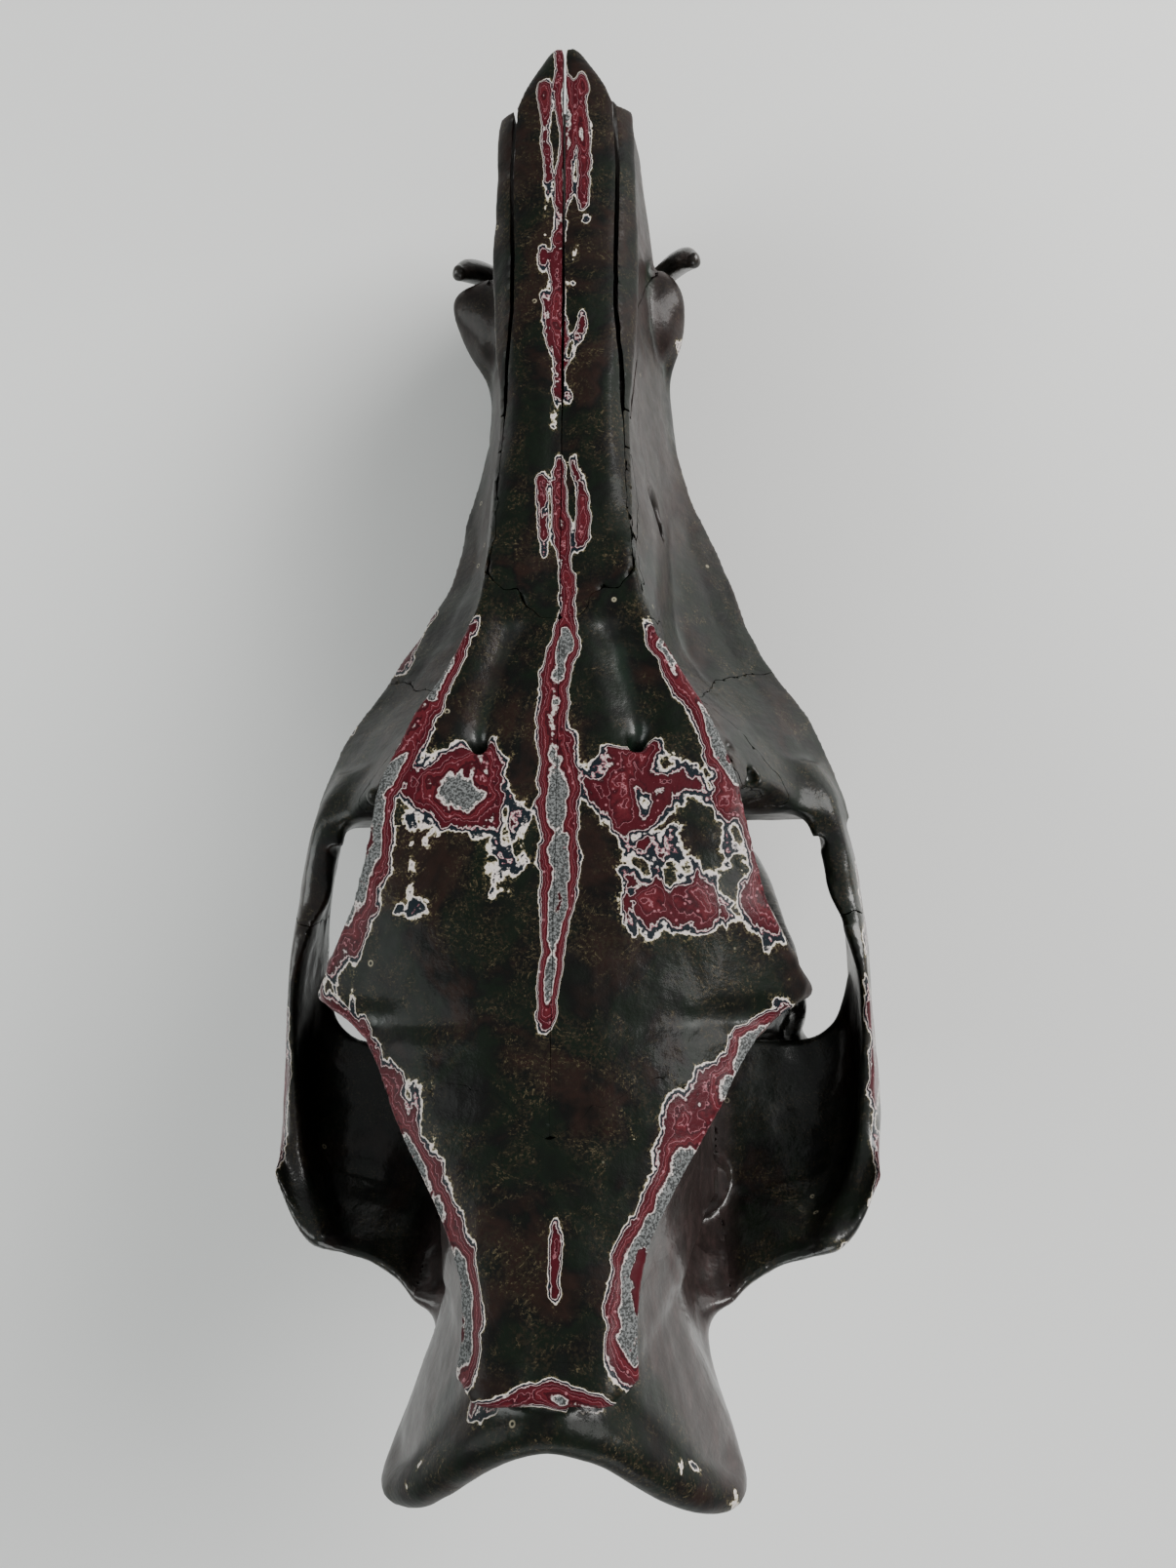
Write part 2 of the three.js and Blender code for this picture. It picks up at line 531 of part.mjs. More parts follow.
const jawThickness = profile([[188, 9], [150, 18], [128, 17], [110, 14.5], [85, 13.5], [30, 15], [-10, 18],
  [-40, 17], [-60, 12], [-75, 9], [-100, 9], [-122, 7]]);
const OVERLAP = 0.5;
const inSymphysis = (y) => THREE.MathUtils.smoothstep(y, 108, 128);
function jawBody() {
  const ys = [188, 181, 172, 162, 150, 138, 124, 108, 92, 70, 44, 18, -6, -20, -30, -38, -46, -54, -62,
    -70, -77, -84, -89, -94, -100, -106, -112, -118, -122];
  const rings = ys.map((y) => {
    const top = jawTop(y);
    const bottom = jawBottom(y);
    const outer = jawOuter(y);
    const medial = THREE.MathUtils.lerp(outer - jawThickness(y), -OVERLAP, inSymphysis(y));
    const rowX = THREE.MathUtils.clamp(LOWER_ROW.x(y), medial, outer);
    const onRow = THREE.MathUtils.smoothstep(y, -46, -20);
    const topIn = THREE.MathUtils.lerp(medial + 1, rowX - 6.5, onRow * (1 - inSymphysis(y)));
    const topOut = THREE.MathUtils.lerp(outer - 1.5, Math.min(rowX + 8.5, outer - 1), onRow);
    const mid = (top + bottom) / 2;
    const foot = THREE.MathUtils.lerp(outer - 5, outer - 4, onRow);
    return [[topIn, top - 0.8], [(topIn + topOut) / 2, top], [topOut, top - 0.8],
      [outer, mid + 0.2 * (top - bottom)], [outer, mid - 0.25 * (top - bottom)], [foot + 2, bottom + 3],
      [foot, bottom], [Math.max(foot - 6, medial + 1), bottom], [medial, bottom + 0.2 * (top - bottom)],
      [medial - 0.2, mid]].map(([x, z]) => new THREE.Vector3(x, y, z));
  });
  return loft(rings);
}

function jawJoint() {
  return ellipsoid([55, -104.5, 36.5], [12, 6, 6.5], [0.1, 0.05, 0], 10);
}

// Lower canine: rises beside the snout, curving out and back
function lowerTusk(grow = 0) {
  const size = (r) => [r + grow, r + grow];
  const root = 0.3 * grow;
  const across = [0, 1, 0];
  return limb([
    { at: [19 - 3 * root, 153 + root, -16 - 8 * root], size: size(3.6), across },
    { at: [22, 152, -8], size: size(3.6), across },
    { at: [25.3, 150.5, 2], size: size(3.7), across },
    { at: [29, 148.5, 12], size: size(3.8), across },
    { at: [32.3, 145.6, 22], size: size(3.8), across },
    { at: [35.2, 142.4, 30], size: size(3.5), across },
    { at: [37, 139.4, 34.6], size: size(2.5), across },
  ], 8);
}

// Canal that opens below the orbit on the side of the snout
function infraorbitalCanal() {
  return limb([{ at: [44, 66, 66], size: [4.6, 5.5] }, { at: [26, 55, 59], size: [4.2, 5] },
    { at: [19, 38, 56], size: [2.5, 3.5] }]);
}

// Hole for the spinal cord
function foramenMagnum() {
  const r = FORAMEN_MAGNUM.radius;
  const y1 = FORAMEN_MAGNUM.depthY;
  const hole = new THREE.CylinderGeometry(r * 0.6, r, 60, 16, 1);
  return solid(hole.rotateX(-0.1).translate(0, y1 - 30, FORAMEN_MAGNUM.z));
}

// Mirror copy of a solid
function otherSide(body) {
  return solid(mirrored(geometryOf(body)));
}

// The whole skull before it is parted
const upperTeeth = cheekTeeth(UPPER_ROW, (y) => alveolusZ(y) + 5).add(upperIncisors());
const sideParts = [cheek(), arch(), shelf(), postorbital(), condyle(), jugularProcess(), bulla(),
  canineSwelling(), upperTeeth]
  .reduce((a, b) => a.add(b))
  .intersect(block(0.1, FAR, -FAR, FAR, BITE_GAP / 2, FAR));
const sideHollows = ellipsoid([ORBIT.x, ORBIT.y, ORBIT.z], [ORBIT.rx, ORBIT.ry, ORBIT.rz], [0, 0, 0], 20)
  .add(infraorbitalCanal()).add(upperTusk(2 * GAP));
const whole = loft(stations().map(headRing))
  .subtract(nuchalCutter())
  .add(nuchalCrest())
  .add(sideParts)
  .add(otherSide(sideParts))
  .subtract(sideHollows)
  .subtract(otherSide(sideHollows))
  .subtract(noseCavity())
  .subtract(noseNotch())
  .subtract(tipClearance())
  .subtract(otherSide(tipClearance()))
  .subtract(choana())
  .subtract(foramenMagnum());

// Sutures: the region of each bone, grown by g where it clears its neighbours
const nasalSlot = (g) => (y) => (g > 0 && y > 74 ? 1.5 : g);

function nasalRegion(g) {
  const grow = nasalSlot(g);
  const edge = [...NASAL_TIP_EDGE, [150, 14.6], [121, 13.8], [103, 13.6], [85, 14.9], [72, 15.8], [45, 17],
    [24, 18]];
  const back = [[15, 18.5], [10.5, 20], [7.5, 13.5], [5, 11], [0, 10.8]];
  const front = [[-0.01, NASAL_TIP_Y], [NASAL_TIP_HALF, NASAL_TIP_Y]];
  const plan = [...front, ...edge.map(([y, x]) => [x + grow(y), y]),
    ...back.map(([x, y]) => [x, y - g]), [-0.01, 10.8 - g]];
  const side = [[230, 40], [230, 120], [0, 130], [0, 88 - g], [30, 90 - g], [72, 73 - g], [100, 68 - g],
    [150, 55 - g]];
  return planPrism(plan).intersect(sidePrism(side, -5, 60));
}

function premaxillaRegion(g) {
  return sidePrism([[230, -20], [146 - g, -20], [145 - g, 18], [136 - g, 34], [118 - g, 50], [98 - g, 62],
    [84 - g, 70], [72 - g, 76], [70 - g, 120], [230, 120]], 0, 60);
}

function frontalRegion(g) {
  const plan = [[-0.01, 60], [19.2 + g, 60], [19.6 + g, 22], [24 + g, 6], [32 + g, -7], [39 + g, -21],
    [44 + g, -32], [70, -36], [70, -104 - g], [30, -101 - g], [18, -99.5 - g], [9, -106 - g],
    [-0.01, -111 - g]];
  const side = [[60, 80 - g], [60, 160], [-130, 180], [-130, 82 - g], [-96, 80 - g], [-40, 80 - g],
    [-20, 84 - g], [20, 86 - g]];
  return planPrism(plan).intersect(sidePrism(side, -5, 80));
}

function lacrimalRegion(g) {
  const plan = [[15, -44 - g], [80, -44 - g], [62 + g, -38], [58 + g, -25], [50 + g, -4], [41 + g, 8 + g],
    [30, 12 + g], [15, 12 + g]];
  return planPrism(plan, 79 - g, 160);
}

function zygomaticRegion(g) {
  const plan = [[50 - g, 4 + g], [100, 14 + g], [100, -61 - g], [74, -64.5 - g], [60, -64.5 - g], [60, -52],
    [33 - g, -44], [33 - g, -10 + g], [40 - g, g]];
  const side = [[20, 20], [20, 98], [-66, 98], [-90 - g, 60], [-84 - g, 30]];
  return planPrism(plan).intersect(sidePrism(side, 25, 120));
}

function temporalRegion(g) {
  const plan = [[37 - g, -50], [100, -50], [100, -200], [41 - g, -200], [39 - g, -150], [37 - g, -140],
    [37 - g, -110]];
  return planPrism(plan, 25, 99 + g);
}

function maxillaRegion(g) {
  return block(-1, FAR, -46 - g, FAR, -FAR, FAR);
}

const PAIRED = [['nasal', nasalRegion], ['premaxilla', premaxillaRegion], ['frontal', frontalRegion],
  ['lacrimal', lacrimalRegion], ['zygomatic', zygomaticRegion], ['temporal', temporalRegion],
  ['maxilla', maxillaRegion]];

const aboveTable = sidePrism([[FAR, tableZ(FAR)], [FAR, FAR], [-FAR, FAR], [-FAR, tableZ(-FAR)]], 0, FAR);
const lowerTeeth = cheekTeeth(LOWER_ROW, (y) => jawTop(y) - 6).add(lowerIncisors());
const jawHalf = jawBody().add(jawJoint())
  .add(lowerTeeth)
  .intersect(aboveTable)
  .subtract(lowerTusk(2 * GAP));
const bones = { upper_tusk: upperTusk(), lower_tusk: lowerTusk() };
let rest = whole.intersect(block(GAP / 2, FAR, -FAR, FAR, -FAR, FAR));
let middle = whole;
for (const [name, region] of PAIRED) {
  bones[name] = rest.intersect(region(0));
  const cleared = region(GAP);
  rest = rest.subtract(cleared);
  middle = middle.subtract(cleared).subtract(otherSide(cleared));
}

// Midline bones: skull base below, occipital behind, parietal roof
const baseRegion = (g) => sidePrism([[-40, -20], [-40, 80 + g], [-100, 80 + g], [-120 - g, 68],
  [-120 - g, -20]], -FAR, FAR);
const occipitalRegion = (g) => sidePrism([[-119, -20], [-119, 74], [-128 + g, 90], [-152 + g, 150],
  [-154 + g, 200], [-300, 200], [-300, -20]], -FAR, FAR);
const midline = { mandible: jawHalf.add(otherSide(jawHalf)) };
midline.skull_base = middle.intersect(baseRegion(0));
middle = middle.subtract(baseRegion(GAP));
midline.occipital = middle.intersect(occipitalRegion(0));
midline.parietal = middle.subtract(occipitalRegion(GAP));

const COLOURS = { nasal: '#3b2624', premaxilla: '#4a3a38', maxilla: '#35322e', upper_tusk: '#1d1b18',
  lower_tusk: '#1d1b18', mandible: '#2a2925', lacrimal: '#2b2b26',
  zygomatic: '#302f2b', frontal: '#3a2a26', temporal: '#16201a', parietal: '#26241f', occipital: '#231f1d',
  skull_base: '#171a17' };

// Named mesh with the lacquer's base colour
function bone(name, geometry, colour) {
  const material = new THREE.MeshStandardMaterial({ color: colour, roughness: 0.3, metalness: 0 });
  const mesh = new THREE.Mesh(geometry, material);
  mesh.name = name;
  return mesh;
}

const skull = new THREE.Group();
const sameX = (x) => x;
for (const name of Object.keys(bones)) {
  const right = geometryOf(largest(bones[name]));
  const reach = name === 'lower_tusk' ? sameX : leftX;
  skull.add(bone(`${name}_right`, right, COLOURS[name]));
  skull.add(bone(`${name}_left`, mirrored(right, reach), COLOURS[name]));
}
for (const name of Object.keys(midline)) {
  skull.add(bone(name, geometryOf(largest(midline[name])), COLOURS[name]));
}

// Rest on the jaw's flats, with the box's middle over the origin
skull.rotation.x = -PITCH;
skull.updateMatrixWorld(true);
const box = new THREE.Box3().setFromObject(skull, true);
skull.position.set(0, -(box.min.y + box.max.y) / 2, -box.min.z);

export default skull;
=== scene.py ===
import math

import bpy
import numpy as np
import openvdb as vdb
from mathutils import Euler, Matrix, Vector


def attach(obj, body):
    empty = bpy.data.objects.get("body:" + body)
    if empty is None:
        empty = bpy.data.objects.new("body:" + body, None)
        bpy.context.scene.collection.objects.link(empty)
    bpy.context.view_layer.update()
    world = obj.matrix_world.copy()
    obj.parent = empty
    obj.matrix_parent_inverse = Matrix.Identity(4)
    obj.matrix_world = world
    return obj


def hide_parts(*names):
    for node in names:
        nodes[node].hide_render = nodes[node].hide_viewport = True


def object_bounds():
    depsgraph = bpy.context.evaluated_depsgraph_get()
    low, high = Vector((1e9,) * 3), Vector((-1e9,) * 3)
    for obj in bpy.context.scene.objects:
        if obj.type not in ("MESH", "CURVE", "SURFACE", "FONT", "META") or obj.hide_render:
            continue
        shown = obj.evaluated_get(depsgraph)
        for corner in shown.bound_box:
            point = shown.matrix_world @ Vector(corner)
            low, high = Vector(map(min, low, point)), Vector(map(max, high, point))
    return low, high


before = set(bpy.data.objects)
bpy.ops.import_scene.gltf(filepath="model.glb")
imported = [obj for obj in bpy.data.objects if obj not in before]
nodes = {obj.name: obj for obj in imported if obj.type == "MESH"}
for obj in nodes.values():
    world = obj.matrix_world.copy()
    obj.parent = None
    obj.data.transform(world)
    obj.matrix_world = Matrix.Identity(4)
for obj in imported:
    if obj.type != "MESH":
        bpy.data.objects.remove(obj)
cad_lo, cad_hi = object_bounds()

# Place of the skull's own frame in the row frame
PITCH = math.radians(5)
SHIFT = np.array([0.0, -9.001, 59.473])
MM = 0.001

# Same driving dimensions as the part's source
JAW_DEPTH = 59.7
CREST_TOP_Z = 155.5
ARCH_HALF_WIDTH = 80.8
ARCH_SPLAY = 9
CREST_CORNER = [37, -188.5, 120]
FLAT_CUT = 0.8
BITE_GAP = 0.4
SAME_WIDTH = 20
NOSTRIL_HALF_WIDTH = 11.5
NOSTRIL_BACK_Y = 72

# Grid of the fields: cell size and band of true distances
VOXEL = 0.8
BAND = 7.2

STEPS = 4
LIMB_SIDES = 20
SWELL_SIZE, GRAIN_SIZE = 14, 5
NOISE_SEED = 7000


# ---- Curves and lofts ----

def profile(*numbers):
    """Smooth curve through stops: position, value, position, value, with position falling."""
    pos, val = np.reshape(numbers, (-1, 2)).astype(float).T
    last = len(pos) - 1
    before = np.maximum(np.arange(last + 1) - 1, 0)
    after = np.minimum(np.arange(last + 1) + 1, last)
    slope = (val[after] - val[before]) / (pos[after] - pos[before])

    def at(y):
        y = np.clip(np.asarray(y, float), pos[last], pos[0])
        k = np.clip(np.searchsorted(-pos, -y, side="right") - 1, 0, last - 1)
        h = pos[k + 1] - pos[k]
        t = (y - pos[k]) / h
        return ((2 * t**3 - 3 * t**2 + 1) * val[k] + (t**3 - 2 * t**2 + t) * h * slope[k]
                + (3 * t**2 - 2 * t**3) * val[k + 1] + (t**3 - t**2) * h * slope[k + 1])
    return at


def rise(x, lo, hi):
    """0 at lo, 1 at hi, smooth between."""
    t = np.clip((x - lo) / (hi - lo), 0, 1)
    return t * t * (3 - 2 * t)


def lerp(a, b, t):
    return a + (b - a) * t


def curve_between(a, b, c, d, t):
    """Catmull-Rom point between b and c."""
    return 0.5 * (2 * b + (c - a) * t + (2 * a - 5 * b + 4 * c - d) * t**2
                  + (3 * b - a - 3 * c + d) * t**3)


def in_steps(a, b, c, d, times, axis):
    return np.stack([curve_between(a, b, c, d, k / times) for k in range(times)], axis=axis)


def round_rings(rings, times=STEPS):
    """More points round each closed ring, on a smooth curve."""
    rings = np.asarray(rings, float)
    a, c, d = (np.roll(rings, shift, axis=1) for shift in (1, -1, -2))
    return in_steps(a, rings, c, d, times, 2).reshape(len(rings), -1, rings.shape[2])


def more_rings(rings):
    """More rings along a loft, on smooth curves."""
    rings = np.asarray(rings, float)
    p = np.concatenate([rings[:1], rings, rings[-1:]])
    body = in_steps(p[:-3], p[1:-2], p[2:-1], p[3:], STEPS, 1)
    return np.concatenate([body.reshape(-1, *rings.shape[1:]), rings[-1:]])


def loft(rings):
    """Closed surface through closed rings: points and triangles."""
    rings = np.asarray(rings, float)
    n, m, _ = rings.shape
    points = np.concatenate([rings.reshape(-1, 3), rings[0].mean(0)[None], rings[-1].mean(0)[None]])
    i, j = np.meshgrid(np.arange(n - 1), np.arange(m), indexing="ij")
    a = i * m + j
    b = i * m + (j + 1) % m
    sides = np.concatenate([np.stack([a, b, b + m], -1).reshape(-1, 3),
                            np.stack([a, b + m, a + m], -1).reshape(-1, 3)])
    k = np.arange(m)
    start = np.stack([np.full(m, n * m), (k + 1) % m, k], -1)
    end = np.stack([np.full(m, n * m + 1), (n - 1) * m + k, (n - 1) * m + (k + 1) % m], -1)
    return points, np.concatenate([sides, start, end])


def circle(sides):
    angle = 2 * np.pi * np.arange(sides) / sides
    return np.stack([np.cos(angle), np.sin(angle)], -1)


def limb_rings(stops, section):
    """Rings of a tapered limb; a stop is (centre, (width, depth), direction of the width)."""
    at = np.array([s[0] for s in stops], float)
    rings = []
    for i, (_, size, across) in enumerate(stops):
        along = at[min(i + 1, len(at) - 1)] - at[max(i - 1, 0)]
        along /= np.linalg.norm(along)
        across = np.array(across, float)
        across -= along * across.dot(along)
        across /= np.linalg.norm(across)
        up = np.cross(along, across)
        rings.append(at[i] + size[0] * section[:, :1] * across + size[1] * section[:, 1:] * up)
    return np.array(rings)


def limb(stops):
    return loft(more_rings(limb_rings(stops, circle(LIMB_SIDES))))


def limb_of(across, *stops):
    """Limb with one direction of the width; a stop is x, y, z, width, depth."""
    return limb([(stop[:3], stop[3:], across) for stop in stops])


def ring_at(y, outline):
    return [[x, y, z] for x, z in outline]


def side_ring(x, outline):
    return [[x, y, z] for y, z in outline]


# ---- Fields ----

def smooth_min(a, b, k):
    if k <= 0:
        return np.minimum(a, b)
    h = np.maximum(k - np.abs(a - b), 0) / k
    return np.minimum(a, b) - h * h * (k * 0.25)


def smooth_max(a, b, k):
    return -smooth_min(-a, -b, k)


def slices(a, b):
    return tuple(slice(p, q) for p, q in zip(a, b))


def cell_range(lo, hi):
    first = np.floor(np.asarray(lo) / VOXEL).astype(int)
    return first, np.ceil(np.asarray(hi) / VOXEL).astype(int) + 1


class Field:
    """Signed distances in millimetres on a regular grid, negative inside."""

    def __init__(self, lo, hi):
        self.first, end = cell_range(lo, hi)
        self.shape = end - self.first
        self.d = np.full(self.shape, BAND, np.float32)

    def window(self, lo, hi):
        a, b = (np.clip(c - self.first, 0, self.shape) for c in cell_range(lo, hi))
        return a, np.maximum(b, a)

    def grid(self, a, b):
        """Open coordinate arrays of a window."""
        axes = [(np.arange(p, q) + f) * np.float32(VOXEL) for p, q, f in zip(a, b, self.first)]
        x, y, z = (axis.astype(np.float32) for axis in axes)
        return x[:, None, None], y[None, :, None], z[None, None, :]

    def distances(self, points, triangles, a, b):
        """Distances to a closed surface over a window."""
        level = vdb.FloatGrid.createLevelSetFromPolygons(
            np.ascontiguousarray(points, np.float32),
            triangles=np.ascontiguousarray(triangles, np.uint32),
            transform=vdb.createLinearTransform(voxelSize=VOXEL), halfWidth=BAND / VOXEL)
        out = np.empty(b - a, np.float32)
        level.copyToArray(out, ijk=tuple(int(v) for v in a + self.first))
        return out

    def change(self, lo, hi, action):
        """Applies action(d, x, y, z) over a window."""
        a, b = self.window(lo, hi)
        if np.all(b > a):
            s = slices(a, b)
            self.d[s] = action(self.d[s], *self.grid(a, b))

    def join(self, shape, k, blend=smooth_min, sign=1):
        """Joins a closed surface, with a fillet k wide."""
        points, triangles = shape
        margin = k + 2 * VOXEL
        a, b = self.window(points.min(0) - margin, points.max(0) + margin)
        if np.all(b > a):
            s = slices(a, b)
            self.d[s] = blend(self.d[s], sign * self.distances(points, triangles, a, b), k)

    def cut(self, shape, k):
        self.join(shape, k, smooth_max, -1)


def both_sides(half, lo, hi):
    """The right half, and its mirror image with the left side's reach."""
    both = Field((-hi[0], *lo[1:]), hi)
    first, start = -both.first[0], -half.first[0]
    both.d[first:] = half.d[start:start + both.shape[0] - first]
    xs = (first - np.arange(first)) * VOXEL
    for j, y in enumerate((np.arange(both.shape[1]) + both.first[1]) * VOXEL):
        source = np.where(xs > SAME_WIDTH, SAME_WIDTH + (xs - SAME_WIDTH) / left_reach(y), xs)
        q = np.clip(source / VOXEL + start, 0, half.shape[0] - 1.001)
        i = q.astype(int)
        f = (q - i).astype(np.float32)[:, None]
        both.d[:first, j] = half.d[i, j] * (1 - f) + half.d[i + 1, j] * f
    return both


NO_TURN = (0, 0, 0)


def ellipsoid_distance(x, y, z, centre, radii, turn=NO_TURN):
    """Near distance to an ellipsoid."""
    r = np.array(Euler(turn).to_matrix()).T
    px, py, pz = x - centre[0], y - centre[1], z - centre[2]
    q = [(r[i][0] * px + r[i][1] * py + r[i][2] * pz) / radii[i] for i in range(3)]
    k0 = np.sqrt(q[0]**2 + q[1]**2 + q[2]**2) + 1e-6
    k1 = np.sqrt(sum((q[i] / radii[i])**2 for i in range(3))) + 1e-6
    return k0 * (k0 - 1) / k1


def path_distance(x, y, z, points, radii):
    """Distance to a rod along points, with a radius at each."""
    best = None
    for p, q, r0, r1 in zip(points[:-1], points[1:], radii[:-1], radii[1:]):
        v = np.subtract(q, p).astype(float)
        at = (x - p[0], y - p[1], z - p[2])
        t = np.clip(sum(c * w for c, w in zip(at, v)) / v.dot(v), 0, 1)
        d = np.sqrt(sum((c - t * w)**2 for c, w in zip(at, v))) - (r0 + (r1 - r0) * t)
        best = d if best is None else np.minimum(best, d)
    return best


def reach(points, radius):
    p = np.array(points, float)
    return p.min(0) - radius, p.max(0) + radius


def dig(field, points, radii, k):
    """Carves a rod-shaped hollow."""
    field.change(*reach(points, max(radii) + k + 2), lambda d, *at: smooth_max(
        d, -path_distance(*at, points, radii), k))


def add_ball(field, centre, radii, turn, k):
    field.change(*reach([centre], max(radii) + k + 2), lambda d, *at: smooth_min(
        d, ellipsoid_distance(*at, centre, radii, turn), k))


def dig_ball(field, centre, radii, k):
    field.change(*reach([centre], max(radii) + k + 2), lambda d, *at: smooth_max(
        d, -ellipsoid_distance(*at, centre, radii), k))


def press(field, line, z_range, width, depth):
    """Lowers the surface by depth along a line seen from above."""
    flat = [(x, y, 0) for x, y in line]
    lo, hi = reach(flat, 2.5 * width)
    lo[2], hi[2] = z_range
    field.change(lo, hi, lambda d, x, y, z: d + depth * np.exp(
        -(path_distance(x, y, 0 * z, flat, [0] * len(flat)) / width) ** 2))


def noise(shape, cell, number):
    """Smooth random values from -1 to 1, cell grid steps apart."""
    source = np.random.default_rng(NOISE_SEED + number)
    counts = [int(n / cell) + 3 for n in shape]
    values = source.uniform(-1, 1, counts).astype(np.float32)
    for axis, n in enumerate(shape):
        q = np.arange(n) / cell
        i = q.astype(int)
        t = (q - i).astype(np.float32)
        t = t * t * (3 - 2 * t)
        form = [1, 1, 1]
        form[axis] = n
        t = t.reshape(form)
        values = np.take(values, i, axis) * (1 - t) + np.take(values, i + 1, axis) * t
    return values


def uneven(field, swell, grain, number):
    """Adds slow swells and the finer unevenness of old bone."""
    field.d += (swell * noise(field.shape, SWELL_SIZE / VOXEL, number)
                + grain * noise(field.shape, GRAIN_SIZE / VOXEL, number + 1))


# ---- Named curves of the head, as in the part's source ----

left_reach = profile(
    152, 1.05, 140, 1.14, 133, 1.48, 126, 1.36, 116, 1.16, 104, 1, 62, 1, 49, 0.86, 37, 0.82,
    27, 0.91, 14, 1)
crown_z = profile(
    196, 61, 188, 65, 107, 80, 17, 100, -43, 117.5, -77, 129.5, -111, 138.5, -144, 147.7,
    -166, CREST_TOP_Z, -196, 161)
ridge_x = profile(
    196, 6, 188, 9, 182, 14, 172, 19.5, 150, 20.4, 121, 20.8, 103, 20.2, 85, 18.8, 72, 17.7,
    44, 18.7, 22, 20, 10, 23.2, -3, 29.5, -13, 35.5, -23, 40, -32, 43, -44, 45, -62, 48.8,
    -73, 52.8, -81, 56.5, -84.5, 54, -88, 48.4, -92, 45, -98, 40.8, -106, 36.5, -119, 28.4,
    -131, 21.5, -143, 18.5, -156, 19, -165, 23.5, -178, 30, -188, 37, -196, 43)
ridge_z = profile(
    196, 56, 182, 60, 150, 67, 121, 71, 85, 79, 44, 91, 22, 98, -3, 104, -23, 109.5, -44, 114.5,
    -62, 116, -73, 113, -81, 110.5, -86, 112, -92, 120, -106, 129, -131, 139.5, -156, 146.5,
    -165, 144.5, -178, 137, -192, CREST_CORNER[2], -196, 121)
roof_bow = profile(
    196, 2, 150, 1.5, 60, 2.5, 20, 0.5, -30, 0.8, -80, 2.5, -130, 1, -166, 4, -196, 9)
brow_drop = profile(
    196, 3, 100, 4, 20, 4, -20, 7, -50, 9, -80, 9, -110, 7, -150, 9, -170, 9, -196, 8)
wall_x = profile(
    196, 10, 182, 15.5, 150, 19, 103, 19.5, 72, 20.5, 45, 25, 10, 27, -30, 27, -60, 26, -85, 30,
    -110, 33, -130, 32, -150, 32.5, -170, 34.5, -196, 40)
wall_z = profile(
    196, 42, 150, 50, 103, 54, 72, 58, 10, 66, -30, 76, -60, 84, -110, 96, -150, 97, -196, 113)
jaw_x = profile(
    196, 13, 190, 17, 181, 20, 162, 22.3, 148, 23.7, 120, 27, 95, 29, 81, 30, 60, 31.5, 0, 32,
    -30, 30, -44, 26, -60, 22, -84, 25, -110, 34, -140, 36, -170, 35, -196, 36)
jaw_z = profile(
    196, 31, 162, 33, 95, 24, 60, 26, 0, 30, -30, 36, -60, 46, -84, 60, -110, 68, -150, 74,
    -196, 96)
alveolus_x = profile(
    196, 11, 181, 17.5, 148, 21, 120, 23, 95, 28.5, 60, 30, 0, 31, -30, 29.5, -44, 24, -60, 18.5,
    -78, 17, -84, 17, -110, 18, -150, 24, -196, 30)
alveolus_z = profile(
    196, 22, 181, 18, 148, 15, 95, 14, 0, 13, -44, 13, -60, 12, -76, 14, -80, 26, -84, 44, -110, 46,
    -150, 52, -196, 80)
palate_x = profile(196, 6, 148, 11, 95, 15, 0, 17, -44, 15, -60, 13, -78, 12, -110, 10, -196, 12)
palate_z = profile(
    196, 25, 181, 21, 148, 17, 95, 14.5, 0, 15.5, -44, 14, -60, 12, -76, 15, -80, 27, -84, 45,
    -110, 47, -150, 53, -196, 82)
cheek_x = profile(
    84, 29, 72, 32.8, 56, 38.6, 36, 46.5, 19, 51.6, 5, 58, -14, 69, -30, 74, -38, 75.5)
cheek_z = profile(84, 23, 72, 24.5, 56, 27, 36, 33, 19, 39, 5, 45, -14, 53, -30, 57, -38, 59)
arch_outer = profile(
    -20, 66, -30, 72, -38, 74.5, -53, 78, -67, 79.6, -94, 80.5, -112, ARCH_HALF_WIDTH, -121, 79.9,
    -131, 77, -138, 73, -144, 67.5)
arch_inner = profile(
    -20, 52, -30, 57, -38, 62, -47.5, 65, -60.5, 68, -70, 72, -80, 74.5, -90, 75, -105, 74,
    -121, 72, -131, 69, -140, 64, -148, 60)
arch_top = profile(
    -20, 66, -30, 72, -38, 74, -50, 72.5, -60, 72, -68, 75, -80, 77, -94, 77, -112, 79, -131, 83,
    -140, 87, -148, 93)
arch_bottom = profile(
    -20, 46, -30, 43, -45, 41, -60, 40, -80, 39, -94, 41, -106, 46, -120, 53, -134, 62, -148, 78)


def head_ring(y):
    cz, rx, rz = crown_z(y), ridge_x(y), ridge_z(y)
    bow, brow = roof_bow(y), brow_drop(y)
    wx, wz, jx, jz = wall_x(y), wall_z(y), jaw_x(y), jaw_z(y)
    ax, az, px, pz = alveolus_x(y), alveolus_z(y), palate_x(y), palate_z(y)
    half = [[rx * 0.35, cz + (rz - cz) * 0.16 + bow * 0.6], [rx * 0.7, cz + (rz - cz) * 0.55 + bow],
            [rx - 1.2, rz + 0.8], [rx, rz - 1], [rx - 0.15 * brow, rz - brow],
            [(rx + 2 * wx) / 3, (rz - brow + 2 * wz) / 3 + 3], [wx, wz],
            [(wx * 1.1 + jx * 0.9) / 2, (wz + jz) / 2], [jx, jz],
            [(jx + ax) / 2 + 1, (jz + az) / 2 - 1], [ax, az], [px, pz]]
    left = [[-x, z] for x, z in reversed(half)]
    return ring_at(y, [[0, cz], *half, [0, pz + 0.8], *left])


def head_shape():
    return loft(round_rings([head_ring(y) for y in np.arange(196, -168.1, -2)]))


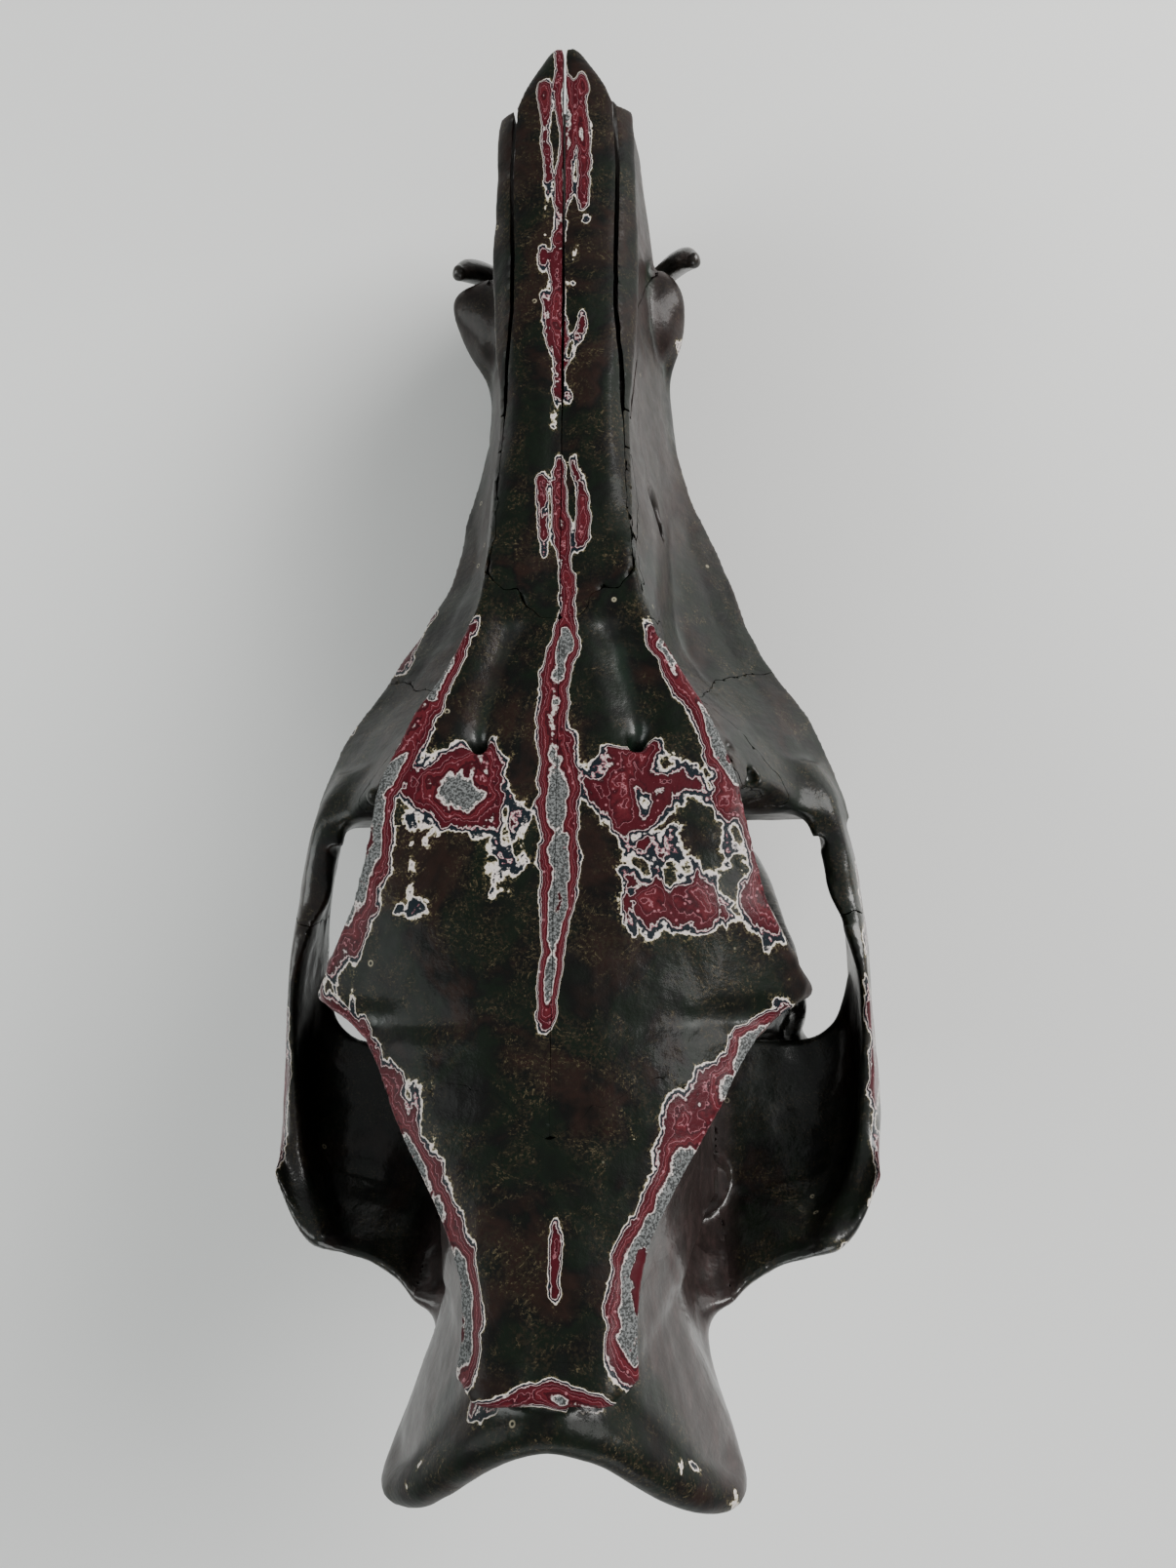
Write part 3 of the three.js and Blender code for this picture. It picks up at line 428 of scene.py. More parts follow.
def cheek_shape():
    rings = []
    for y in np.arange(84, -38.1, -2):
        ex, ez = cheek_x(y), cheek_z(y)
        tx, tz = ridge_x(y) - 3, ridge_z(y) - 6
        hollow = math.hypot(ex - tx, tz - ez) * (0.02 + 0.14 * rise(y, -38, 10))
        face = [[tx + (ex - tx) * t - hollow * math.sin(math.pi * t),
                 tz + (ez - tz) * t - 0.6 * hollow * math.sin(math.pi * t)]
                for t in (0, 0.3, 0.6, 0.85)]
        outline = [[10, tz - 6], *face, [ex, ez], [ex - 1.5, ez - 2 - 0.2 * (ex - 28)],
                   [min(jaw_x(y) + 1, ex - 4), ez - 4 - 0.22 * (ex - 28)], [10, ez - 5]]
        rings.append(ring_at(y, outline))
    return loft(rings)


def arch_shape():
    rings = []
    for y in np.arange(-24, -144.1, -2):
        o, i, top, bottom = arch_outer(y), arch_inner(y), arch_top(y), arch_bottom(y)
        mid = (top + bottom) / 2
        foot = min(i + ARCH_SPLAY, o - 3.5)
        outline = [[i, top - 1.5], [(i + o) / 2 - 0.4, top], [o - 2.4, top - 3], [o, mid + 2],
                   [o + 0.2, mid - 8], [o - 0.4, bottom + 3], [(foot + o) / 2, bottom],
                   [foot, bottom + 2], [(i + foot) / 2, mid]]
        rings.append(ring_at(y, outline))
    return loft(round_rings(rings, 3))


def shelf_shape():
    lip_y = profile(80, -84, 75, -90, 71, -97, 65, -101, 53, -102, 40, -101, 20, -101)
    back_y = profile(
        80, -124, 77, -130, 73, -138, 69, -143.5, 65, -146.5, 58, -149, 51.5, -151, 44, -155,
        38, -159.5, 20, -162)
    back_z = profile(80, 86, 65, 90, 58, 89, 51.5, 88.5, 44, 90, 38, 93, 20, 98)
    rings = []
    for x in np.arange(77, 19.9, -1.5):
        lip, back, top = lip_y(x), back_y(x), back_z(x)
        outline = [[lip, 50], [lip - 0.35 * (lip - back), 55], [lip - 0.7 * (lip - back), 67],
                   [back + 4, top - 3], [back + 1, top], [back, top - 4], [back + 9, 72],
                   [-131, 56], [-118, 46.5], [-106, 44], [lip + 0.6, 46.5]]
        rings.append(side_ring(x, outline))
    return loft(round_rings(rings, 3))


POSTORBITAL = [(34, -60, -98, 112, 4), (45, -62, -91.5, 112.4, 3.6), (50.5, -66, -87, 111.4, 3.2),
               (56, -76, -84.6, 108.6, 2.6), (58.8, -80, -83.6, 106.4, 1.6)]


def postorbital_shape():
    rings = []
    for x, y0, y1, z, t in POSTORBITAL:
        mid = (y0 + y1) / 2
        rings.append(side_ring(x, [[y0, z + t], [mid, z + t + 0.8], [y1, z + t], [y1, z - t],
                                   [mid, z - t], [y0, z - t]]))
    return loft(more_rings(round_rings(rings, 3)))


PLATE_SECTION = np.array([[-1, -1], [0.6, -1], [1, -0.5], [1, 0.5], [0.6, 1], [-1, 1]], float)
PLATE_SHARE = 0.72
CREST = [((0, -165.5, 149.5), (0, -144, 140), 4.2), ((12.8, -170, 145.5), (8, -144, 136), 4.2),
         ((23.5, -179.5, 137.5), (15, -144, 126), 4.2), ((31.5, -186, 129), (19, -143, 117), 4),
         (CREST_CORNER, (21.5, -142, 108), 3.8), ((34, -183, 111), (22.5, -140, 100), 3.6),
         ((30.6, -177, 103.5), (24, -138, 93), 3.4), ((29.5, -168, 98), (25, -136, 86), 3.2),
         ((30, -159, 91), (26.5, -133, 79), 3.4)]


def crest_shapes():
    flip = [((-a[0], a[1], a[2]), (-b[0], b[1], b[2]), r) for a, b, r in CREST[1:]]
    stops = [*reversed(CREST[1:]), CREST[0], *flip]
    plates = []
    for rim, root, r in stops:
        rim, root = np.array(rim, float), np.array(root, float)
        depth = np.linalg.norm(rim - root) / 2
        plates.append(((rim + root) / 2, (depth, r * PLATE_SHARE), rim - root))
    plate = loft(more_rings(limb_rings(plates, PLATE_SECTION)))
    rim = limb([(a, (r, r), (0, 0.9, 0.4)) for a, _, r in stops])
    return plate, rim


def nuchal_wall():
    outline = [[-166, 200], [-160, 152], [-157, 144], [-150, 125], [-143.5, 100], [-139.5, 80],
               [-136.5, 62], [-134, 40], [-134, -60], [-300, -60], [-300, 200]]
    return loft([side_ring(x, outline) for x in (-120, 120)])


def nose_cavity():
    w = NOSTRIL_HALF_WIDTH
    rings = []
    for y in [215, 200, *np.arange(190, NOSTRIL_BACK_Y - 0.1, -4)]:
        top, edge, floor = crown_z(y) - 4.5, ridge_z(y) - 4, 29 + (190 - y) * 0.03
        narrow = lerp(0.5, 1, rise(y, NOSTRIL_BACK_Y, NOSTRIL_BACK_Y + 16))
        half = [[w * 0.75 * narrow, (top + edge) / 2], [w * 1.32 * narrow, edge - 1],
                [w * 1.2 * narrow, (edge + floor) / 2], [w * narrow, floor + 4],
                [w * 0.5 * narrow, floor]]
        left = [[-x, z] for x, z in half]
        rings.append(ring_at(y, [[0, top], *left, [0, floor - 1], *reversed(half)]))
    return loft(round_rings(rings, 3))


def nose_notch():
    outline = [[215, 58.5], [186, 59.5], [170, 60.5], [153, 62.5], [163, 54], [176, 43], [188, 36],
               [200, 33], [215, 31]]
    return loft([side_ring(x, outline) for x in (-60, 60)])


def choana():
    rings = [ring_at(y, [[-w, z1], [-w, z0], [w, z0], [w, z1]])
             for y, w, z0, z1 in [(-26, 6, 22, 32), (-44, 9, 9, 38), (-50, 10.5, -5, 43),
                                  (-90, 12, -5, 44.5)]]
    return loft(more_rings(rings))


TEETH = [[8, 4.5, 4], [12, 6, 5], [13, 8.5, 6.5], [12.5, 12, 9], [16, 13.5, 10.5], [21, 17, 13.5],
         [32, 18.5, 14.5]]
LOBE_LENGTH = 9
upper_row_x = profile(90, 24.5, 40, 24, 0, 23.5, -45, 21.5)
lower_row_x = profile(90, 21, 40, 22, 0, 22.5, -45, 22.5)


def crown(x, y, length, width, root_z, side):
    bite = side * BITE_GAP / 2
    lobes = max(1, round(length / LOBE_LENGTH))
    steps = 2 * lobes
    rings = []
    for k in range(steps + 1):
        end, lobe = k in (0, steps), k % 2 == 1
        half = width * (0.5 if lobe else 0.34 if end else 0.42)
        cusp = bite + side * (0 if lobe else 3.4 if end else 2.6)
        groove = cusp + side * (1.8 if lobe else 0.7)
        section = [[-0.8, root_z], [-1, bite + side * 5.5], [-0.6, cusp], [0, groove], [0.6, cusp],
                   [1, bite + side * 5.5], [0.8, root_z]]
        rings.append([[x + u * half, y + length * (0.5 - k / steps), z] for u, z in section])
    return loft(more_rings(round_rings(rings, 3)))


def cheek_teeth(field, front, row_x, width, root_z, side):
    for tooth in TEETH:
        y = front - tooth[0] / 2
        front -= tooth[0]
        field.join(crown(row_x(y), y, tooth[0] * 0.96, tooth[width], root_z(y), side), 0.7)


INCISOR = [(0, 0, 0.9, 0.9), (0.35, 0.6, 1, 1), (0.75, 0.6, 1, 0.85), (1, 0, 0.8, 0.4)]


def incisors(field, *teeth):
    for root, tip, r in teeth:
        root, tip = np.array(root, float), np.array(tip, float)
        at = [root + (tip - root) * t + np.array([0, bow, 0]) for t, bow, _, _ in INCISOR]
        sizes = [(r * width, r * depth) for _, _, width, depth in INCISOR]
        field.join(limb([(p, size, (1, 0, 0)) for p, size in zip(at, sizes)]), 1)


UPPER_TUSK = [((19.5, 119, 26), 3.4), ((23.5, 121, 22.5), 3.4), ((27, 123, 17.5), 3.2),
              ((29.4, 125, 12), 2.6), ((30.6, 126.5, 8), 1.5)]
LOWER_TUSK = [((19, 153, -16), 3.6), ((22, 152, -8), 3.6), ((25.3, 150.5, 2), 3.7),
              ((29, 148.5, 12), 3.8), ((32.3, 145.6, 22), 3.8), ((35.2, 142.4, 30), 3.5),
              ((37, 139.4, 34.6), 2.5)]
SOCKET = 0.6


def tusk_socket(stops):
    return [p for p, _ in stops], [r + SOCKET for _, r in stops]


# ---- Head field ----

HEAD_LO, HEAD_HI = (-9, -199, -3), (84, 201, 166)
half = Field(HEAD_LO, HEAD_HI)
half.join(head_shape(), 0)
half.cut(nuchal_wall(), 2.5)
for shape in (*crest_shapes(), cheek_shape(), arch_shape()):
    half.join(shape, 4)
half.join(shelf_shape(), 5)
half.join(postorbital_shape(), 3)

# Condyle, the long process beside it, and the wing behind the palate
add_ball(half, (18.5, -141, 57), (8.5, 9.5, 12.5), (0.35, 0, 0.35), 2)
half.join(limb_of((0.75, 0.66, 0), (33, -137, 72, 8, 6), (33, -136.5, 56, 8, 5.2),
                  (32.5, -135, 40, 7, 3.8), (31.5, -132, 22, 5.4, 3.2),
                  (30.7, -129.5, 11, 4, 2.7), (30.2, -128, 4, 2.2, 1.8)), 2)
half.join(limb_of((1, 0, 0), (24, -104, 54, 7, 11), (25, -105, 42, 8, 12),
                  (25.5, -107, 30, 7, 9.5), (25.5, -108.5, 20, 4.2, 5.5),
                  (25.3, -109, 15, 1.8, 2.4)), 2)

# Swelling and flange over the upper canine
add_ball(half, (24.5, 124, 29), (8.4, 15, 10), (0, -0.25, 0.1), 3)
half.join(limb_of((0.3, 0, 1), (22, 135, 31, 3, 4.6), (27.5, 131.5, 34, 2.6, 4.4),
                  (30.2, 126, 34, 2.4, 4), (30, 119, 30, 2.4, 3.6),
                  (27.5, 110, 25, 2.4, 3.2), (24, 101, 22, 2, 2.8)), 3)

# Hollows: eye socket, canal below it, nose, passage behind the palate, spinal canal
dig_ball(half, (60, -50.5, 91), (34, 20, 19), 3)
canal = limb_of((1, 0, 0), (44, 66, 66, 4.6, 5.5), (26, 55, 59, 4.2, 5), (19, 38, 56, 2.5, 3.5))
for shape in (canal, nose_cavity(), nose_notch(), choana()):
    half.cut(shape, 1.5)
dig(half, [(0, -112, 69), (0, -175, 71)], [11.5, 11.5], 2)

# Teeth
cheek_teeth(half, 85, upper_row_x, 1, lambda y: alveolus_z(y) + 5, 1)
incisors(half, ([6, 184, 27], [3.1, 198, 8], 3.5), ([12, 179, 25], [10, 189, 8], 2.8),
         ([16.8, 168, 24], [17.2, 173, 9], 2.2))
dig(half, *tusk_socket(UPPER_TUSK), 0.6)
half.change(HEAD_LO, (*HEAD_HI[:2], 4), lambda d, x, y, z: smooth_max(d, BITE_GAP / 2 - z, 0.3))

# Infraorbital opening
dig(half, [(27, 57, 71), (25.5, 52.5, 61), (21, 42, 52)], [4.0, 4.8, 3.5], 1.2)

# Supraorbital foramina with their grooves, and the small holes and knobs round the orbit
press(half, [(19.6, -20), (17.5, -10), (14.8, 0), (12.4, 8)], (92, 118), 4.4, 2.0)
dig(half, [(19, -24, 108.5), (19.5, -20, 109.5), (18.8, -15, 109.5)], [1.9, 1.8, 1.2], 2)
dig(half, [(19.3, -21, 110), (18.6, -32, 102)], [2.0, 1.5], 0.8)
dig(half, [(46.2, -26.8, 102), (42, -21, 90)], [1.5, 1.2], 0.8)
dig(half, [(43.4, -31.2, 105), (40, -24, 92)], [1.4, 1.2], 0.8)
for centre, r in [((46.5, -33.6, 103.5), 2.2), ((50.8, -30.6, 99.5), 2), ((54.2, -32.2, 95), 2.5),
                  ((58, -35, 90.5), 2.5), ((61, -37, 85.5), 2.1)]:
    add_ball(half, centre, (r, r, r), NO_TURN, 2)
dig(half, [(50.4, -37, 98), (47.5, -29, 88)], [2.6, 2.2], 1)
dig(half, [(66, -46, 74), (66, -44, 60)], [1.3, 1.1], 0.8)
press(half, [(66, -48), (69, -56), (71, -66)], (55, 74), 2.6, 1.0)

# Wrinkled bone at the tip of the postorbital process
for centre in [(56.4, -80.4, 109.2), (57.9, -82, 107.2), (53.6, -84.4, 110.2), (50.2, -86, 111),
               (54, -74.5, 111)]:
    add_ball(half, centre, (1.9, 1.7, 1.6), NO_TURN, 1.2)


# ---- Both sides ----

whole = both_sides(half, HEAD_LO, HEAD_HI)
del half
uneven(whole, 0.35, 0.16, 1)


def blurred(values, radius):
    """Mean over a cube of cells."""
    out = values
    for axis in range(3):
        pad = [(radius + 1, radius) if a == axis else (0, 0) for a in range(3)]
        total = np.cumsum(np.pad(out, pad, mode="edge"), axis=axis, dtype=np.float32)
        n = values.shape[axis]
        hi = np.take(total, np.arange(2 * radius + 1, 2 * radius + 1 + n), axis=axis)
        lo = np.take(total, np.arange(n), axis=axis)
        out = (hi - lo) / (2 * radius + 1)
    return out


BULGE_LIMIT, BULGE_RADIUS = 5, 4
clipped = np.clip(whole.d, -BULGE_LIMIT, BULGE_LIMIT)
bulge = blurred(clipped, max(2, round(BULGE_RADIUS / VOXEL))) - clipped
del clipped


# ---- Frames, meshes and pieces ----

COS, SIN = math.cos(PITCH), math.sin(PITCH)


def to_row(p):
    """Skull frame in millimetres to row frame in metres."""
    x, y, z = p.T
    return (np.stack([x, y * COS + z * SIN, -y * SIN + z * COS], -1) + SHIFT) * MM


def to_skull(p):
    q = p / MM - SHIFT
    return np.stack([q[:, 0], q[:, 1] * COS - q[:, 2] * SIN, q[:, 1] * SIN + q[:, 2] * COS], -1)


def node_mesh(name):
    """Points in the skull frame and triangles of a CAD node."""
    mesh = nodes[name].data
    points = np.empty(len(mesh.vertices) * 3, np.float32)
    mesh.vertices.foreach_get("co", points)
    mesh.calc_loop_triangles()
    triangles = np.empty(len(mesh.loop_triangles) * 3, np.int32)
    mesh.loop_triangles.foreach_get("vertices", triangles)
    return to_skull(points.reshape(-1, 3).astype(float)), triangles.reshape(-1, 3)


def main_part(points, quads):
    """Only the largest connected surface, without the scraps of the grid."""
    label = np.arange(len(points))
    a = quads[:, [0, 1, 2, 3]].ravel()
    b = quads[:, [1, 2, 3, 0]].ravel()
    while True:
        low = np.minimum(label[a], label[b])
        new = label.copy()
        np.minimum.at(new, a, low)
        np.minimum.at(new, b, low)
        new = new[new]
        new = new[new]
        if np.array_equal(new, label):
            break
        label = new
    names, counts = np.unique(label, return_counts=True)
    keep = label == names[np.argmax(counts)]
    number = np.cumsum(keep) - 1
    return points[keep], number[quads[keep[quads[:, 0]]]]


def surface(values, first):
    """Points and quads of the zero surface, in the skull frame."""
    grid = vdb.FloatGrid(BAND)
    grid.transform = vdb.createLinearTransform(voxelSize=VOXEL)
    grid.copyFromArray(np.ascontiguousarray(np.clip(values, -BAND, BAND)),
                       ijk=tuple(int(v) for v in first))
    points, quads = grid.convertToQuads(isovalue=0.0)
    return main_part(points.astype(float), quads.astype(np.int64))


def sampled(values, first, p):
    """Values of an array of cells at points."""
    q = np.clip(p / VOXEL - first, 0, np.array(values.shape) - 1.001)
    i = q.astype(int)
    f = q - i
    out = np.zeros(len(p))
    for corner in np.ndindex(2, 2, 2):
        w = np.prod([f[:, k] if corner[k] else 1 - f[:, k] for k in range(3)], axis=0)
        out += w * values[i[:, 0] + corner[0], i[:, 1] + corner[1], i[:, 2] + corner[2]]
    return out


def slope_of(values, first, p):
    steps = 0.5 * VOXEL * np.eye(3)
    return np.stack([(sampled(values, first, p + e) - sampled(values, first, p - e)) / VOXEL
                     for e in steps], -1)


EDGE_REACH, EDGE_STEP = 0.62 * VOXEL, 0.6 * VOXEL
LEAST_SPREAD = 0.15
SHARP_ANGLE = math.radians(48)


def sharpen(points, skin, region, first):
    """Moves the vertices along a suture's edge onto the line where skin and cut meet."""
    f, r = sampled(skin, first, points), sampled(region, first, points)
    near = np.flatnonzero((np.abs(f) < EDGE_REACH) & (np.abs(r) < EDGE_REACH))
    if not len(near):
        return points
    p = points[near]
    for _ in range(2):
        f, r = sampled(skin, first, p), sampled(region, first, p)
        gf, gr = slope_of(skin, first, p), slope_of(region, first, p)
        ff, rr, fr = (gf * gf).sum(1), (gr * gr).sum(1), (gf * gr).sum(1)
        det = ff * rr - fr * fr
        good = det > LEAST_SPREAD * ff * rr
        det = np.where(good, det, 1)
        u = np.where(good, (-f * rr + r * fr) / det, 0)
        v = np.where(good, (-r * ff + f * fr) / det, 0)
        move = gf * u[:, None] + gr * v[:, None]
        length = np.linalg.norm(move, axis=1, keepdims=True)
        p = p + move * np.minimum(1, EDGE_STEP / np.maximum(length, 1e-9))
    points = points.copy()
    points[near] = p
    return points


def new_object(name, data):
    obj = bpy.data.objects.new(name, data)
    bpy.context.scene.collection.objects.link(obj)
    return obj


def make_object(name, points, faces, values={}):
    """Mesh object from skull-frame points, with named numbers at its vertices."""
    row = np.clip(to_row(points), np.array(cad_lo), np.array(cad_hi))
    mesh = bpy.data.meshes.new(name)
    mesh.vertices.add(len(row))
    mesh.vertices.foreach_set("co", row.astype(np.float32).ravel())
    sides = faces.shape[1]
    mesh.loops.add(faces.size)
    mesh.loops.foreach_set("vertex_index", faces.astype(np.int32).ravel())
    mesh.polygons.add(len(faces))
    mesh.polygons.foreach_set("loop_start", np.arange(0, faces.size, sides, dtype=np.int32))
    mesh.polygons.foreach_set("loop_total", np.full(len(faces), sides, np.int32))
    mesh.polygons.foreach_set("use_smooth", np.ones(len(faces), bool))
    mesh.update(calc_edges=True)
    mesh.set_sharp_from_angle(angle=SHARP_ANGLE)
    for key, numbers in values.items():
        attribute = mesh.attributes.new(key, "FLOAT", "POINT")
        attribute.data.foreach_set("value", np.asarray(numbers, np.float32))
    return new_object(name, mesh)


def settle(obj, node, slot):
    obj.data.materials.append(MATERIALS[slot])
    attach(obj, "root")
    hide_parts(node)


# ---- Lacquer layout ----

def bell(x, centre, width):
    return np.exp(-((x - centre) / width) ** 2)


drift = noise(whole.shape, 30 / VOXEL, 11)
patches = noise(whole.shape, 15 / VOXEL, 12)


def layout(p, convex):
    """How far the lacquer is rubbed through at skull-frame points, from 0 to about 1."""
    x, y, z = p.T
    ax = np.abs(x)
    slow, quick = sampled(drift, whole.first, p), sampled(patches, whole.first, p)
    across = ax / np.maximum(ridge_x(y), 4)
    roof = rise(z, ridge_z(y) - 7, ridge_z(y) - 2) * rise(across, 1.25, 1.05)
    broken = rise(slow + 0.5 * quick, -0.45, 0.35)
    narrow = lerp(0.5, 1, rise(y, -84, -50)) * lerp(0.62, 1, rise(y, 12, -22))
    mid = bell(x, 1.6 * slow + 0.8 * np.sin(y * 0.09), (5.6 + 1.4 * quick) * narrow)
    mid = mid * rise(y, -96, -76) * (0.44 + 0.18 * rise(y, 20, -20) + 0.14 * broken)
    nasal = bell(ax, 5.5 + 3.0 * quick + 2 * slow, 2.8) * rise(y, 6, 40) * rise(y, 188, 176)
    nasal = nasal * (0.30 + 0.26 * broken)
    edges = rise(across, 0.70 + 0.06 * quick, 0.98) * rise(y, 24, -6) * (0.28 + 0.34 * broken)
    edges = edges * (1 - 0.62 * bell(y, -78, 13))
    brow = rise(y, -76 - 10 * quick, -60) * rise(y, -12 + 8 * slow, -30) * bell(across, 0.5, 0.5)
    brow = brow * (0.36 + 0.26 * quick)
    temple = bell(across, 0.42 + 0.2 * slow, 0.2) * bell(y, -118, 15) * (0.24 + 0.2 * quick)
    back = rise(across, 0.46 + 0.1 * slow, 0.96) * rise(y, -90, -102) * rise(y, -166, -150)
    back = back * (0.42 + 0.24 * broken)
    crest = bell(y + 0.34 * ax, -156.5 + 2 * slow, 4.0) * rise(across, 1.2, 0.5)
    crest = crest * (0.42 + 0.2 * quick)
    spot = bell(x, 1.5, 2.6) * bell(y, -134, 12) * 0.5
    rub = roof * np.maximum.reduce([mid, nasal, edges, brow, temple, back, crest, spot])
    snout = bell(z, 33, 9) * rise(y, 88, 112) * rise(ax, 17, 21) * 0.36 * broken
    rim = bell(ax - cheek_x(np.clip(y, -38, 84)), -3, 4) * rise(y, -40, -20) * rise(y, 60, 30)
    arch = bell(ax, 79, 3) * rise(y, -40, -56)
    rub = np.maximum.reduce([rub, snout, rim * 0.42 * broken, arch * 0.36 * broken])
    rub = rub + 0.05 * slow + np.clip(convex, -0.6, 0.9) * 0.16
    rub = rub * (1 - 0.7 * rise(y, -174, -182))
    return np.clip(rub, 0, 1)


def shade_numbers(p):
    """Numbers at the vertices: rubbed depth, side walls with their brown tone and painted sheen,
    painted shade in the hollows, and unrubbed gloss.
    """
    convex = sampled(bulge, whole.first, p)
    x, y, z = p.T
    across = np.abs(x) / np.maximum(ridge_x(y), 4)
    # Side walls and snout sides: mask for a brown tone that is partly their own colour and partly a
    # painted sheen
    wall_tone_and_sheen = rise(across, 0.98, 1.1) * rise(y, -100, -118) * rise(np.abs(x), 44, 38)
    snout = rise(y, 30, 60) * rise(z, ridge_z(y) + 2, ridge_z(y) - 6) * rise(z, 24, 34)
    # Concave hollows: mask for painted shade
    hollow = rise(convex, -0.15, -0.7)
    top = rise(z, ridge_z(y) - 9, ridge_z(y) - 3) * rise(across, 1.15, 1.0)
    front = rise(y, -48, -38)
    gloss = 1 - np.maximum.reduce([0.9 * top, 0.7 * snout, 0.62 * front]) * (1 - hollow)
    return {"rub": layout(p, convex), "wall_tone_and_sheen": np.maximum(wall_tone_and_sheen, 0.6 * snout), "hollow": hollow,
            "gloss": gloss}


# ---- Materials ----

def srgb(r, g, b):
    lin = [c / 255 / 12.92 if c <= 10 else ((c / 255 + 0.055) / 1.055) ** 2.4 for c in (r, g, b)]
    return (*lin, 1)


class Nodes:
    """Short hand for a material's node tree."""

    def __init__(self, name, **inputs):
        self.material = bpy.data.materials.new(name)
        self.material.use_nodes = True
        self.tree = self.material.node_tree
        self.shader = self.fill(self.tree.nodes["Principled BSDF"], **inputs)
        self.place = self.node("TexCoord").outputs["Object"]

    def link(self, value, socket):
        if isinstance(value, bpy.types.NodeSocket):
            self.tree.links.new(value, socket)
        else:
            socket.default_value = value

    def fill(self, node, **inputs):
        """Sets a node's inputs; _ stands for a space in an input's name."""
        for name, value in inputs.items():
            self.link(value, node.inputs[name.replace("_", " ")])
        return node

    def node(self, kind, **inputs):
        return self.fill(self.tree.nodes.new("ShaderNode" + kind), **inputs)

    def number(self, name):
        node = self.node("Attribute")
        node.attribute_name = name
        return node.outputs["Fac"]

    def noise(self, size, detail=3.0, roughness=0.55, distortion=0.0, stretch=None):
        """Noise whose features are about size metres across."""
        place = self.place
        if stretch:
            place = self.node("Mapping", Vector=place, Scale=stretch).outputs["Vector"]
        return self.node("TexNoise", Vector=place, Scale=1 / size, Detail=detail,
                         Roughness=roughness, Distortion=distortion).outputs["Fac"]

    def cells(self, size):
        """Distance to the nearest of points about size metres apart."""
        return self.node("TexVoronoi", Vector=self.place, Scale=1 / size).outputs["Distance"]

    def math(self, operation, *values, clamp=False):
        node = self.node("Math")
        node.operation = operation
        node.use_clamp = clamp
        for value, socket in zip(values, node.inputs):
            self.link(value, socket)
        return node.outputs[0]

    def times(self, product, *values):
        for value in values:
            product = self.math("MULTIPLY", product, value)
        return product

    def scaled(self, value, scale, base, clamp=False):
        """value * scale + base"""
        return self.math("MULTIPLY_ADD", value, scale, base, clamp=clamp)

    def inverse(self, value):
        return self.math("SUBTRACT", 1.0, value)

    def ramp(self, fac, stops):
        node = self.node("ValToRGB", Fac=fac)
        elements = node.color_ramp.elements
        while len(elements) < len(stops):
            elements.new(0.5)
        for element, (position, colour) in zip(elements, stops):
            element.position = position
            element.color = colour
        return node.outputs["Color"]

    def window(self, value, lo, hi):
        """0 below lo, 1 above hi, smooth between."""
        node = self.node("MapRange", Value=value, From_Min=lo, From_Max=hi)
        node.interpolation_type = "SMOOTHSTEP"
        return node.outputs["Result"]

    def mix(self, fac, a, b):
        node = self.node("Mix")
        node.data_type = "RGBA"
        for value, index in ((fac, 0), (a, 6), (b, 7)):
            self.link(value, node.inputs[index])
        return node.outputs[2]

    def finish(self, colour, roughness, height, distance=0.00025):
        bump = self.node("Bump", Distance=distance, Strength=1.0, Height=height).outputs["Normal"]
        self.fill(self.shader, Base_Color=colour, Roughness=roughness, Normal=bump,
                  Coat_Normal=bump)
        return self.material


BLACK = srgb(10, 10, 9)
GREEN = srgb(12, 20, 12)
OLIVE = srgb(36, 31, 22)
BROWN = srgb(32, 20, 16)
TEAL = srgb(19, 27, 33)
CRIMSON = srgb(66, 14, 23)
RED = srgb(86, 26, 33)
DARK_CRIMSON = srgb(44, 8, 16)
ROSE = srgb(160, 104, 112)
WHITE = srgb(206, 196, 192)
OCHRE = srgb(112, 102, 74)
CREAM = srgb(172, 164, 140)
SILVER = srgb(112, 114, 114)
GROUND_LINE = srgb(76, 68, 50)
LAYERS = [(0.0, TEAL), (0.310, OCHRE), (0.316, CREAM), (0.322, WHITE), (0.334, WHITE),
          (0.341, TEAL),
          (0.372, TEAL), (0.378, ROSE), (0.384, WHITE), (0.392, DARK_CRIMSON), (0.42, CRIMSON),
          (0.452, CRIMSON), (0.456, ROSE), (0.461, DARK_CRIMSON), (0.48, CRIMSON), (0.512, RED),
          (0.516, ROSE), (0.521, CRIMSON), (0.56, RED), (0.568, DARK_CRIMSON), (0.60, CRIMSON),
          (0.618, WHITE), (0.630, WHITE), (0.638, SILVER), (0.82, SILVER), (0.826, WHITE),
          (0.834, DARK_CRIMSON), (0.87, CRIMSON)]
EDGE = 0.31
GROUND = [(0.34, BLACK), (0.45, GREEN), (0.52, BLACK), (0.60, BROWN), (0.70, BLACK)]
# Side-wall colours: partly the walls' own brown, partly a painted sheen
WALL_TONE_AND_SHEEN = [(0.3, srgb(33, 27, 26)), (0.52, srgb(46, 37, 36)), (0.7, srgb(62, 49, 48))]
# Painted shade for the hollows: near-black with a green tint
HOLLOW_SHADE = [(0.4, srgb(9, 11, 9)), (0.62, srgb(14, 30, 20))]
HORN = [(0.3, srgb(16, 14, 12)), (0.55, srgb(33, 27, 23)), (0.75, srgb(56, 45, 37))]
TABLE = [(0.3, srgb(232, 232, 231)), (0.7, srgb(236, 236, 235))]
LONGER = (1.0, 0.62, 1.0)
LINE_WIDTH = 0.006


def thin_line(n, value, level):
    """1 along a contour of a value."""
    up = n.window(value, level - LINE_WIDTH, level - 0.5 * LINE_WIDTH)
    down = n.window(value, level + 0.5 * LINE_WIDTH, level + LINE_WIDTH)
    return n.math("SUBTRACT", up, down)


